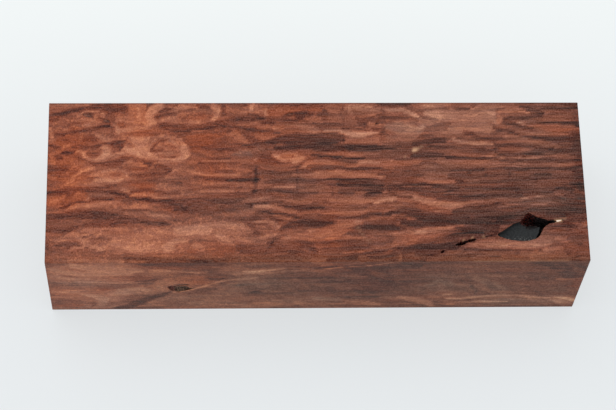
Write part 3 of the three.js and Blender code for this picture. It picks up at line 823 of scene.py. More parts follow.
    (40, 40, 14,16.6,2, 15.3,16.2,2.5, 15.8,16.8,3), (64, 20, 12.7,14.2,3, 13.4,13.8,3),
    (42, 40, 13.5,14.1,1.5, 15.6,14.1,2), (56, 5, 7.5,11.2,8, 10,11,10, 13,11,9, 15.5,11.5,8),
    (62, 20, -0.5,13.4,5, 1,13.3,3.5), (82, -5, 2.2,13.6,4, 4,13.6,5, 6,13.7,5, 7.5,13.2,7, 9,12.8,9,
     10.5,12.6,9, 12,12.6,8, 13.5,12.9,6, 15,13,4), (85, -10, 8.2,12.7,5, 9.5,12.4,5, 11.4,12.8,4,
     12.4,12.8,4), (62, -25, 17.7,14.5,10, 20,14.3,18, 22.5,13.6,20, 24.5,13.2,14, 26.3,14.5,8),
    (53, -20, 18,11.5,10, 21,11.3,14, 24,11.8,11), (41, -20, 16.7,13.7,5, 17.2,12.4,6),
    (45, 15, 27.2,14.5,6, 29,14.8,8, 30.2,14.3,6), (57, 10, 31,13.3,5, 32.5,12.6,6), (36, 5, 7.5,9.9,4,
     11,9.8,4, 15,10,4), (24, 0, 0,9,10, 4,9,10, 8,8.9,9, 12,8.8,8, 15.5,9,7, 18,9,5, 20.5,9,3),
    (46, -10, 17,10,8, 20,10,8, 23,9.9,6), (27, 10, 23.5,10.2,3.5, 26,10.2,5, 27.5,10.8,8, 29.5,10.8,9,
     31.5,10.7,6), (29, 10, 27,9.5,3, 29.5,9.2,5, 33,9.1,4.5),
    # Thin bands right of the middle
    (59, 50, 2.7,7.3,2, 4.5,7.3,3.5, 6.5,7.2,4, 8.5,7,5, 10,7.2,4.5, 11.5,7.1,2), (50, 10, 12,7.2,5,
     14,7.2,5, 15.5,7.5,4), (23, 5, -1,7.1,3, 1.5,6.7,3, 3,6.2,4, 4.5,6.1,4.5, 6,6.3,3, 8,6,2, 12,5.9,2),
    (42, -5, 6,5.3,5, 8,5,6, 10,5.2,4), (64, 20, 10.3,5,4, 12,4.9,6, 13.5,4.8,6, 15.5,4.6,3),
    (59, 50, 5.8,4.1,1.5, 8,3.9,3.5, 10,3.9,3.5, 11.8,4.2,1.5), (22, 10, -1,3.3,3, 3,3.5,3, 6,3.3,3.5,
     9,3.1,3, 12,3,3, 15,2.9,3.5, 17,2.5,3.5, 18.5,2.3,2), (63, 50, 0,1.8,9, 2.5,1.8,9, 5,2.1,9, 6.5,1.8,9,
     8.5,1.3,7, 10.5,1.4,6, 13,1.4,6, 15,1.1,5, 16.5,1,3), (40, 30, 7.5,2.4,2.5, 9.5,2.3,3.5, 11,2.2,2.5),
    (72, 30, 15.2,0.95,3, 16.1,0.9,3), (40, 35, 15,1.7,3, 17,1.6,3), (21, 0, 3,0.5,3, 5,0.4,4, 6,0,5, 9,0,8,
     12,0,9, 14.5,-0.1,7, 16.5,-0.4,3), (31, -10, 5,-1,6, 8,-1.4,10, 12,-1.8,14, 15,-2.2,14, 13,-3.3,9,
     11.7,-3.9,4), (25, 0, 14.5,-0.3,6, 17,-0.9,6, 20,-1,5, 23,-0.8,5), (36, 5, 5.5,-2.9,7, 8.5,-2.9,9),
    (36, 15, 16.5,-0.5,5, 17.5,-1,6, 17.8,-2.5,6), (50, 25, 0,-1.4,5, 2,-1.6,8, 2.4,-3,7),
    (24, 5, 18,-1.1,3, 20,-1,5, 22,-0.7,5, 24,-0.8,5, 26,-1,5, 28.5,-1.5,6, 31,-2.1,7, 34,-2.6,7),
    (34, 10, 20,-2.2,5, 24,-2.1,6, 27,-2.6,8, 30,-3.2,8, 33,-3.5,7), (44, 40, 17,0.5,4, 20,0.5,6, 24,0.8,7,
     26.5,0.3,5), (55, 35, 26.5,1.2,5, 29,1.3,6, 33,1.1,7), (60, 45, 24.5,0.5,2, 27,-0.1,4, 29,-0.4,5.5,
     31.5,-0.5,5.5, 33.5,-0.3,5), (55, 55, 15.5,4.2,3, 17.5,4.8,7, 20,4.8,8, 22,4.9,7, 23.8,5.2,6,
     25,5.3,4), (66, 50, 23.4,5.3,3.5, 24.6,5.2,3), (62, 40, 17.4,5.5,2, 18.6,5.4,2), (50, 60, 16.5,3.7,3,
     18.5,3.5,4), (33, 10, 19,2.7,2, 21,2.7,4, 23,2.7,2.5), (42, 15, 18.5,1.8,4, 22,1.8,5, 25,1.8,4),
    (62, 10, 25.5,3.7,2, 28,3.8,3, 31,3.7,3, 33.5,3.8,3), (61, 15, 29.5,5.3,4, 31.5,5,6, 34,4.7,7),
    (33, 10, 25,3.1,1, 29,3.15,1.5, 33,3.2,2), (68, -10, 26.5,2.6,1.2, 28.5,2.4,2, 30.5,2.4,1.5),
    (46, 25, 18,8,3, 20.5,7.6,4, 22.5,7.5,3), (46, 20, 17,6.5,6, 20,6.5,8, 22.5,6.7,6), (27, 10, 23.3,6.7,3,
     25,6.9,6, 27,7,7, 29,6.9,7, 30.5,6.8,5), (19, 0, 31.2,6.4,3.5, 33,6.4,4), (54, 40, 25.5,7.95,1,
     28,8.1,1.5, 31,8.2,1.5, 33.5,8,3), (50, 30, 29.8,7.5,1.5, 33,7.4,3.5),
    # The light band that crosses the front of the right half
    (62, 45, 3.5,-5,7, 6,-5.2,9, 8.5,-5.2,9, 11,-5.2,8, 12.7,-5.2,7), (70, 20, 13,-5,4, 13.6,-5.8,5,
     14,-6.6,3), (68, 20, 14.5,-5.6,7, 16,-5,9, 17.5,-4.7,8, 19,-4.6,5), (78, 10, 17,-5.7,1.5,
     18.5,-5.2,2.5, 19.5,-4.8,1), (62, 15, 19.5,-3.3,3, 21,-3.6,5, 22.5,-3.7,5, 24,-3.8,5),
    (56, 35, 20,-5.3,8, 22,-5.3,8), (69, 20, 23.5,-4.7,8, 25.5,-5.1,11, 28,-5.9,13, 30,-6.4,13, 32,-6.8,12,
     34,-6.6,10), (46, 20, 1,-5.8,6, 2,-6.4,4), (45, 15, 4,-6.9,5, 8,-7.2,6, 11,-6.9,5), (55, 35, 12,-7.5,4,
     15,-7.3,7, 18,-6.9,6), (60, 45, 0,-8.2,2.5, 2,-8.5,3.5, 5,-8.4,4, 8,-8.4,4, 10.5,-8.3,3.5, 12,-8.2,1),
    (27, 10, 0,-9.3,3, 3,-9.4,4, 7,-9.5,4, 10,-9.5,4, 12.5,-9.2,6, 15,-9,5, 17,-9.3,3), (34, 10, 0,-10.5,5,
     2,-10.7,6, 3.8,-10.9,4), (65, 45, 0,-13.9,12, 2,-13.8,15, 4.5,-13,15, 6.5,-12,13, 8.5,-11.3,9,
     10.3,-11.2,6), (78, 10, 8.8,-11,4, 10,-11,3.5), (73, 40, 0.4,-14.6,6, 1.6,-14.2,6, 3.2,-13.4,5),
    (55, 55, 6,-13,5, 8,-12.8,6), (50, 45, 0,-17,9, 3,-17,11, 6,-17,10, 8.5,-16.9,7), (36, 20, 10.5,-13,6,
     12,-12.5,9, 14.5,-12.5,11, 17.5,-12.2,10), (50, 30, 13.5,-10.8,4, 16,-10.2,5, 19,-10,3),
    (30, 5, 16.5,-12.5,5, 19,-12.6,5), (51, 30, 11.5,-15,8, 14,-14.8,10, 16.5,-14.9,10, 18,-14.4,6),
    (43, 10, 12,-16.4,4, 15,-16.5,5, 17.5,-15.9,5), (24, -10, 16.5,-9,3, 18,-8.4,4, 20.5,-8,8, 23.5,-8.8,12,
     26,-9.6,15, 29,-10.1,16, 32,-10.4,16, 35,-10,17), (29, 10, 20,-11.2,6, 23,-11.5,9, 27,-11.7,8,
     30,-11.5,7), (35, 30, 18.5,-9.9,3.5, 21,-10.1,4.5), (62, -5, 18.5,-6.7,1, 20.5,-6.75,1.2, 22,-6.8,0.8),
    (76, 15, 27,-7.7,1.2, 29,-8.1,1.5, 31,-8.4,1.5, 33,-8.3,1), (67, 25, 17.5,-14.2,3, 19,-14,5, 21,-13.6,7,
     23.5,-13.6,8, 25.5,-13.5,8, 28,-13.1,8, 30.5,-12.9,8, 33,-12.4,6, 35,-11.9,4), (80, 10, 23.6,-13.6,5,
     25.3,-13.6,5), (56, 50, 20,-14.8,4, 23,-15,4.5, 26,-14.8,3.5), (44, 35, 24,-16.3,5, 27,-15.5,6,
     30,-14.7,6, 33,-13.8,4), (25, 10, 7,-20.2,3, 9,-19.8,4, 11,-19.3,4, 13,-18.8,4, 15.5,-18.4,4,
     19,-18,3), (28, 15, 12,-20.2,5, 16,-19.8,6, 20,-18.8,8, 24,-17.8,10, 27,-17,11, 30,-16,12, 33,-15,10),
    (22, 20, 24,-19,10, 27,-18.6,12, 30,-17.9,13, 33,-17.3,11),
    (63, 40, 6,-19.2,3, 8,-18.9,3.5, 10,-18.7,4, 11.5,-18.3,3.5, 13.5,-17.8,3, 15.5,-17.6,2.5, 17,-17.4,3.5,
     18.2,-17,3, 20,-16.4,3, 22,-16,3.5), (60, 70, 21.8,-16.6,4.5, 22.8,-16,5, 24,-15.3,3.5),
    (52, 60, 15.7,-19,2, 17,-18.5,3.5, 18,-17.9,2.5), (40, 20, 0,-19.3,6, 4,-19.6,5), (28, 10, 2,-20.4,3,
     6,-20.5,3.5, 9,-20.5,3.5), (54, 10, 17.5,-21.3,1, 20,-21,1.2, 23,-20.7,1.2, 24.5,-20.8,1),
    (47, 10, 26,-21,3, 28,-20.4,4, 30.5,-20.2,5, 33,-19.5,4.5),
    # The right end, behind: plain tan wood, a dark hook round a pale spot, and an orange lens
    (66, 10, 34,18,19, 37,17.5,26, 40,17.5,30, 43,18,24, 44.5,16.5,18), (65, 10, 34,13.8,17, 37,14.6,18,
     41,14.4,20, 43,14,12), (62, 15, 41,20.2,8, 44,20.2,8, 46,20.3,7), (55, 30, 33,21,4, 36,20.9,5,
     39,20.6,4), (36, 20, 34.3,19.9,1.2, 36,19.7,2.5, 38,19.5,2.5, 39,20,2.5, 40,20.5,2),
    (50, 20, 46.3,20.7,6, 48.5,20.6,6, 50,20.4,5), (59, 60, 45.5,18.6,5, 47.5,19,8, 49.5,19.2,7,
     51.5,18.8,5, 52.8,18.3,3), (54, 50, 45.3,17.5,5, 45.2,16,6, 45.6,14.8,4), (35, 5, 50,20.9,6,
     53,20.6,10, 57,20.5,11, 61,20.3,12, 65,20.1,12), (31, 5, 51,20,5, 53,19.8,5), (24, -10, 52.5,19,4,
     54.5,18.7,6, 56,18.4,5), (45, 30, 57.5,18.6,4, 61,18.4,5, 64.5,18.5,5), (50, 35, 56,17.2,4, 58.5,17,6,
     61,16.9,6, 64.5,17,5), (44, 0, 50.5,16.6,3, 53,16.3,4, 55,16.6,3), (36, 20, 47.8,16.2,4, 49.3,15.9,4),
    (27, 10, 56,17.7,4, 54,17.4,5, 52,17.1,5, 50,17.1,5, 48.3,17.1,5, 47,16.6,5, 46.7,15.9,5, 47.3,15.3,5,
     48.7,15.1,5, 50,14.7,4, 51.5,14.4,3.5, 53,14,3), (74, 10, 50.2,15.8,4, 51,15.4,4),
    (25, -10, 52,16.1,1.5, 55,15.95,2, 58,15.8,3, 60,15.4,3, 62,15.3,4, 64,15.1,5, 65,14.7,4),
    (56, 85, 50.8,15,1.5, 53,15.1,3, 55,14.8,6, 56.5,14.3,10, 58,14.1,12, 60,13.9,11, 62,13.8,8, 64,13.8,6,
     65,13.9,5), (46, 40, 51,13.6,4, 53.5,13.5,4), (68, 40, 60.5,14.9,1, 63,14.4,1.5, 65,13.9,2),
    (55, 50, 58.5,12.6,4, 62,12.6,4), (42, 40, 43.8,14.2,3, 46,13.8,3.5, 48,13.3,3),
    (26, 5, 45,13.6,1.2, 47,13.2,2.5, 48.5,12.7,3, 50,12.3,3, 52,12,4, 54,11.7,5, 56,11.5,6, 58,11.2,7.5,
     61,11.1,7.5, 65,11,8.5), (44, 50, 36.3,13,3, 38,12.8,4), (34, 35, 36.3,12.5,2, 38,12.3,4.5,
     39.5,11.7,4, 41,11.2,3.5, 43,11,4, 45,11,2.5), (76, 10, 33.5,11.2,3.5, 35.5,10.6,4.5, 37.5,10.1,4,
     39,9.9,5, 40.5,9.8,4.5, 42,9.8,4, 43.5,9.8,2), (62, 15, 46,11.8,4, 47.5,11.6,5, 49.5,11.5,5,
     51.5,11.3,3.5), (55, 30, 44.5,10.2,3, 47,10.2,4, 50,10.6,5, 53,10.4,5, 56,9.9,4, 59.5,9.6,3),
    (35, 0, 32.5,9.2,4.5, 35,8.9,4, 37,8.9,3), (33, 10, 36,9.2,2, 38,8.8,2.5, 41,8.6,2),
    (27, 10, 43.5,8.9,2, 45,9.2,3, 47.5,9.5,3.5, 50,9.3,3.5, 53,9,3.5, 56,8.9,3.5, 58,8.7,3),
    (62, 60, 44.5,8.3,2, 46.5,8.5,4.5, 48.5,8.4,5, 50.5,8.3,4, 52.5,8.4,2.5, 54.5,8.6,1.2),
    (27, -5, 44,7.5,2, 46.5,7.3,4, 49,7.3,4, 51.5,7.3,4.5, 54,7.3,4.5, 55.5,7.3,3), (40, 10, 38,8,3,
     41,7.7,4, 43,8,3), (55, 40, 33,7.4,3, 35,7.3,4, 37.5,6.9,2.5, 40,6.75,1.5), (36, 5, 57,8,6, 60,7.7,10,
     64.5,7.7,12), (24, 10, 33,6.3,3.5, 36,6.25,3.5, 39,6.1,2.5, 42,5.85,2, 45,5.6,2.5, 48,5.3,3, 52,5.25,3,
     56,5.2,3, 60,5.1,4, 64.5,5.2,4), (72, 40, 41.7,6.6,2, 43,6.6,3, 44.5,6.3,3, 46,6.1,2),
    (60, 30, 46,6,1.5, 49,6,2.5, 52,6,2.5, 55,6.1,1.2), (47, 20, 57,6.3,3.5, 59,6.2,4, 62,6.4,4),
    (59, 20, 33,4.7,7, 36,4.7,8, 39,4.6,8, 42,4.4,7, 45,4.3,6, 48,4.2,5, 51,4.2,4), (60, 30, 52,3.9,2,
     55,3.9,3, 57.5,4,3.5, 60,4.1,3.5, 63,4.2,3, 65,4.3,3), (32, -5, 33,3.1,3, 36,2.9,5, 38,2.7,5,
     41,2.8,4), (32, -5, 46,2.8,4, 50,2.8,5, 54,3,4, 58,3,3, 63,2.8,5), (42, 10, 33,1.2,12, 38,0.8,16,
     43,0.6,19, 48,0.5,20, 53,0.3,20, 58,0.2,20, 64,0.6,20), (46, 40, 35.5,-1.1,4, 40,-1.3,7, 45,-1.4,6,
     47,-1.5,4), (42, 25, 41,1.7,5, 44,1.8,4), (50, 30, 48.2,2,3.5, 51.5,1.3,5), (30, 0, 37.2,2.4,3.5,
     38,2.3,3), (26, -40, 53.3,1.6,3, 54.5,1.6,4, 56,1.6,4.5, 56.8,1.3,3), (50, -10, 37,-0.3,5, 39,-0.2,5),
    (27, 10, 33.6,-0.2,2, 35.3,-0.2,2.5), (26, -50, 62,-1,6, 63.8,-1.2,10, 64.8,-2,9),
    (33, -10, 57.5,-2.4,3, 60,-2,6, 62,-2.6,6), (42, 10, 33,-3,4, 38,-3,5, 44,-3,5), (30, -5, 36,-2,2,
     40,-2.2,2, 44,-2,3, 48,-2.4,6, 49,-3,6, 53,-2.8,5, 57,-2.9,5), (25, -10, 48.4,-2.6,4, 48.8,-3.2,4),
    (33, 0, 33,-3.8,3, 38,-3.8,3, 43,-3.7,3, 50,-3.7,2),
    (65, 30, 33,-6.6,8, 35,-6.2,7, 38,-5.7,7.5, 41,-5.5,6, 43.5,-5.2,5.5, 46,-5,5, 49,-4.9,4.5, 52,-4.5,4,
     54.5,-4.4,3, 57,-4.2,3, 59.5,-4,3), (80, 10, 48.6,-4.9,2, 50.4,-4.7,2), (80, 10, 53.3,-4.4,2,
     54.5,-4.4,2.5), (46, 30, 60.5,-4,5, 62.5,-4.4,5), (35, -40, 63.3,-4.5,5, 64.8,-4.6,6),
    (48, -10, 46,-5.9,3, 52,-5.5,4.5, 56,-5.5,4.5, 60,-5.3,5), (47, 35, 56.5,-5.1,4, 58.5,-5.3,4),
    (49, 35, 42,-7.6,4, 46,-7.5,5, 50,-7.3,3.5), (64, 15, 43.5,-7,2.5, 46,-6.7,3.5, 48.5,-6.6,2.5,
     51,-6.6,2.5, 53.5,-6.4,2.5, 55.5,-6.4,1), (25, -30, 33,-8.3,6, 36,-8.4,8, 40,-8.9,10, 44,-9.3,11,
     48,-9.3,11, 50,-8.8,8), (41, 10, 34,-7.5,2.5, 37,-7,3, 41,-7,3.5), (40, -70, 50,-8.2,4, 51.5,-7.9,5,
     54,-8,5, 57,-7.7,6, 60,-7.5,6), (32, 10, 54,-9.7,5, 57,-9.4,7, 59.5,-9.3,6), (27, 10, 55.5,-8.9,3,
     59.5,-8.9,3.5), (30, -20, 61,-7.5,8, 63,-8,10, 64.8,-8,10), (40, 20, 61.5,-9.7,5, 64.5,-9.9,6),
    # Round the bark pocket
    (30, -10, 33,-11.3,4, 36,-11,6, 39,-10.6,6, 42,-10.6,5), (26, 30, 43.5,-10.7,7, 47,-10.6,8,
     48.8,-10.2,6), (38, 35, 44.6,-11.5,4, 47,-11,4), (41, 30, 33,-12.6,4.5, 35,-12.8,5, 37.5,-12.4,5),
    (33, 60, 40.8,-11.8,4, 43.3,-12.4,8, 42.8,-13.6,7, 40.5,-13.2,5), (25, 0, 33.5,-14.3,5, 36.5,-14,7,
     39.5,-14,6), (28, 10, 38,-15.4,3.5, 40,-15,3, 42.5,-14.5,3), (55, 20, 38,-16,3, 42,-15.6,3),
    (65, 20, 35.5,-17.3,5, 38,-17,8, 41,-16.8,9, 44,-16.9,9, 47,-17.1,9, 50,-17.2,10, 53,-17,10,
     55,-16.4,9), (76, 15, 37,-17,3, 38,-17.1,3), (76, 15, 43.8,-17.4,3, 45,-17.5,3), (80, 10, 52,-17.4,3,
     53,-17.5,2.5), (63, 10, 54.7,-15,5, 56,-15.6,6, 58,-15.3,6, 60,-15.5,5), (50, 50, 55.5,-14,4,
     57.2,-13.5,6, 58.5,-13.3,5), (42, 30, 56,-12,4, 58,-11.8,5, 60,-11.6,5), (66, 20, 62.3,-11.2,5,
     63.2,-12.4,7, 64.8,-11.5,7), (62, 20, 61.8,-12.9,3.5, 62.8,-13.4,3), (48, 0, 60.5,-15.7,8,
     64.5,-15.5,11), (38, -10, 61.3,-17,4, 63,-17,5), (46, 30, 60,-18,6, 64,-18.2,7),
    (61, 25, 54.5,-18.6,10, 58,-18.2,10), (58, 30, 49,-19.4,8, 54,-19.7,8, 58.5,-19.7,7),
    (38, 20, 35,-18.5,3, 38,-18.7,4, 42,-18.5,3.5, 46,-18.4,3, 49,-18.4,2), (50, 20, 43.5,-19.3,3,
     47,-19.1,3.5), (33, 10, 32,-20.4,3.5, 36,-20,4, 39,-19.8,3, 43,-20,3), (47, 40, 38,-20.5,2, 42,-20.6,2,
     46,-20.6,2, 50,-20.6,2), (41, 15, 60.5,-20.4,4, 64.5,-20.4,4),
])

frontFigure = courses([
    # The left end and the light plume under the top edge
    (66, 25, -59,28.2,10, -57,26.5,20, -54,25.5,28, -50,24.5,34, -46,24,30, -43,25,14), (60, 15, -64,26,9,
     -62,24.5,10, -59,23.3,9, -56,22.3,7, -52,21.5,5), (43, 30, -63,28,3.5, -61.5,27.6,3.5, -60,26.5,3.5,
     -57,25,4, -55.5,24.5,2.5), (36, 10, -62,22.2,1.5, -60,21.4,3.5, -58,20.8,4, -56.5,20.3,3.5, -53,20,3,
     -49,20,3), (55, 10, -64,21.5,6, -60,20,6, -57,19.5,5), (51, 30, -53,19,7, -50,19,8, -46,19.2,7),
    (50, -30, -64,18.5,5, -61.5,17.7,8, -59.5,17.5,7, -57.5,18,3), (58, 5, -58,18.3,5, -54,17.7,6,
     -50,17.3,6, -46,17.4,5), (40, -10, -64.5,17.3,4, -63,16.5,4.5, -61.5,15.8,4), (42, -15, -60,15.5,6,
     -56,16,7, -52,15.5,9, -48,15.5,9, -44,16,8, -40,16.7,6), (42, 30, -38,26,8, -34,26,10, -30,26,10,
     -26,25.5,9), (26, 10, -46,29.2,4, -42,28.4,9, -38,28,15, -33,28.5,17, -28,28.8,15, -24,28,15,
     -21.5,27.5,9), (33, 30, -41,27,4.5, -39.5,26,4), (59, 30, -40,24.5,7, -37,24.6,8, -35,24,7, -33,24,6,
     -29,23.2,4), (64, 20, -30.8,23.6,2, -29,23,2.5, -28,22.7,2), (33, 40, -33.2,22.8,2, -31.5,22.9,2.5,
     -30.5,22.6,1.5), (42, 0, -43.5,22.3,3.5, -41.5,22,7, -40,21.3,6, -37.5,20.8,5, -35,20.5,4,
     -33.5,20.7,3), (31, 10, -43.5,18,4, -41.5,18,7, -40,18.3,7, -38.5,19.2,5),
    # Round the bark pocket
    (55, 20, -38,15,11, -37.5,12.5,11), (54, 50, -36,19,8, -34,18.5,10, -31,18.3,13, -28.5,17.5,16,
     -27,16.3,10), (50, 50, -30,20.5,5, -28,20.5,5), (37, 10, -27,25,9, -24,25,9), (35, 10, -26,23.5,6,
     -24,22.5,9, -22,21.5,9, -20.5,21,5), (27, 30, -26.3,19.8,2.5, -25,19.2,4.5, -23.8,19,4,
     -22.3,19.6,2.5), (35, 0, -24,17.3,6, -22.5,16,7), (37, 10, -28,12,10, -25,13,10),
    (68, 40, -34.5,10.8,2.5, -32,11.7,3, -29.5,12.9,3, -27.5,14.3,4.5, -26,15.5,5, -25,16.4,3.5),
    (70, 40, -26.5,17.5,2.5, -25,17.2,3.5, -23.5,17.5,3.5, -22.3,18.2,3), (64, 20, -25,16.4,3, -23,17.6,3,
     -20,19,3, -18.5,19,6, -16.5,19.3,6, -14.5,20,4), (54, 10, -21,27,6, -19,27.5,8), (50, 10, -20,25.5,8,
     -17,25.2,6), (66, 20, -18,23.7,6, -16,23.5,9, -14,24,8, -12,24.5,6, -10,24.8,4, -8,25.2,2.5),
    (76, 10, -16.8,23.5,4, -15.8,23.6,4), (50, 35, -13,25.8,4, -9,26,4, -5,25.5,4, -2,25,3),
    (54, 10, -8,24,3, -5,24,4, -3,24.5,3), (33, 20, -17,29.4,3.5, -12,29.5,3.5, -6,28,5),
    (55, 10, -17,28.5,1.2, -13,28.6,1.5, -9,28.6,1), (38, 15, -12,27.3,5, -7,27,5), (50, 60, -1,29,9,
     1,28.7,13, 3,28.2,9, 1,27,6), (68, 30, 1,25,2, 3,25.2,2.5, 5.5,25.8,2, 7.5,26.2,2, 9.5,26.5,2.5,
     12,27,2.5, 14.5,27.9,2.5, 16.5,28.6,2.5, 19.5,29.5,2), (42, 40, 7,28.5,6, 10,28.6,6),
    (33, -5, -19,21.6,3, -16,21.5,3.5, -13,21.4,4.5, -11,21.5,4.5), (36, 10, -10,22.7,6, -5,22.5,9,
     -1,22.5,9), (43, -30, -19,15.5,10, -15,16,10, -12,15.5,8), (33, 0, -16,10.3,7, -14.5,11,9, -13.5,10,6),
    (34, 0, -7,10.6,5, -6,10.7,4), (48, 5, -30,4,15, -26,4.5,24, -22,4.5,18), (47, 40, -16,3,8, -14,3.2,15,
     -11,3,15, -9,3,8),
    # The dark flame at the lower left and the bright wood beside it
    (56, -10, -57,9.5,6, -54,8.5,13, -52.3,7,16, -52,4.5,14, -53,2,9), (58, 5, -48,12.5,8, -46,13,11,
     -43,13.5,11, -41,12.2,7), (56, 5, -49,10.5,5, -46,10.3,5.5), (51, 20, -57,11.5,7, -53,11,8),
    (42, 60, -53.5,13,3.5, -52,12.9,6, -50.5,13.1,6, -49.3,13.3,3.5), (56, 25, -64,12,8, -61,11.5,10,
     -58.5,11,7), (50, 25, -64,8.5,9, -61,8.3,10, -58,8.3,7), (36, 20, -64,5.8,3, -60,5.7,4.5,
     -57.5,5.8,3.5), (46, 60, -64,3,10, -61,2.8,13, -58,2.8,9), (30, 10, -55.8,4.4,3.5, -54.8,3.5,4.5,
     -54.6,2.3,4), (36, 10, -45,1.3,6, -42,1,5, -38,1.2,6), (50, 15, -42.5,2,6, -41,3.5,11, -39,5,12,
     -37,6.5,11, -35,7.5,9), (50, 10, -36,8.5,5, -33.5,9.6,5), (36, 20, -47.5,8,6, -44.5,9,6),
    (25, -5, -49.5,0.8,6, -47,1.5,15, -44.5,3.2,17, -42.5,5.2,17, -40.5,7.2,14, -38.5,8.6,11, -36.8,9.8,8,
     -35.3,11,5),
    # The quiet grey-brown right half, curled across its length
    (32, -10, 10.5,21.3,5, 12.5,21,5.5, 14,19.5,5.5, 15,18,5, 17,15.5,4.5, 18,13.8,3), (46, -30, 6.7,14,1.2,
     7.8,11.5,2), (24, -50, 20,28.6,4, 22,28.1,10, 24,27.5,12, 24.5,26.3,5), (46, -20, 25.5,20.2,2,
     27,20,4.5, 28.5,20,2.5), (44, -15, 28,14.5,13, 30,17.5,14, 32.5,15,14), (44, -15, 38,19.5,16, 43,15,21,
     46,12,13), (32, -20, 36,16.5,3, 38,14.5,3.5, 39.5,11,4.5, 39.8,9,3.5), (35, -10, 48.5,17,2.5, 50,14,4,
     50.5,12,3), (36, 0, 26,14,3, 27,12,3), (44, -5, 0,6.5,10, 3,6,14, 6,5.5,9), (50, 40, 3.5,3,3.5, 6,3,6,
     8.5,3.4,9, 11,3.2,10, 13.5,3,9, 15.5,2.6,6, 16.5,2.3,3), (57, 20, 7.5,4.5,2, 12,4.6,2, 14.5,3.9,2.5,
     16,3.1,2), (45, 65, 9.8,2.8,5, 12,2.8,5), (46, 10, 16,6.9,4, 18.5,7,4, 20,7.1,3), (54, 30, 21,7,9,
     24,6,15, 26.5,4.5,19, 28.5,3,14, 29,1.5,9), (53, 20, 31.5,8.3,5, 33.5,8.7,4.5), (55, 20, 33,6,7,
     36,6,7, 39,6.8,7, 42,7.5,8, 46,8.2,8, 50,8,8, 53,7.3,8, 56,6.5,7, 58,6,6), (31, 10, 30.8,6.5,3,
     31.8,5.9,3), (35, 10, 36.5,4.8,2, 38.5,5.1,3.5, 41,5.1,3.5, 43,5.3,2), (35, -5, 46,5.5,3, 48,5.2,4.5,
     50,4.8,4.5, 52,4.7,3), (53, 5, 36,3.6,3, 39,3.9,3.5, 42,4,4.5, 45,3.9,4.5, 48,3.7,2.5),
    (32, 10, 36,2.8,2.5, 39,2.7,3.5, 43,2.5,3.5), (41, 10, 38,1.2,5, 44,1.5,5, 50,2,6, 56,1.5,6),
    (48, 50, 31,2.5,5, 33,2.2,7, 35,2,5), (31, -5, 52,28.2,10, 56,27,19, 60,26,28, 64,26,28),
    (33, -10, 60,22,14, 64,21.5,10), (49, 50, 58.3,18.3,3, 60,18,5.5, 62.5,17.6,7, 64.5,17.2,9),
    (46, 50, 62,13.5,6, 64,13.3,8), (38, 10, 57.5,5.8,3.5, 59.3,5.2,3), (63, 20, 60,6.5,5, 62,5.8,9,
     63.5,5,9, 65,4.2,8), (74, 20, 63.6,4.6,4, 64.6,4.2,4), (36, 15, 30,29.1,7, 40,29.1,7, 50,29.1,7),
])

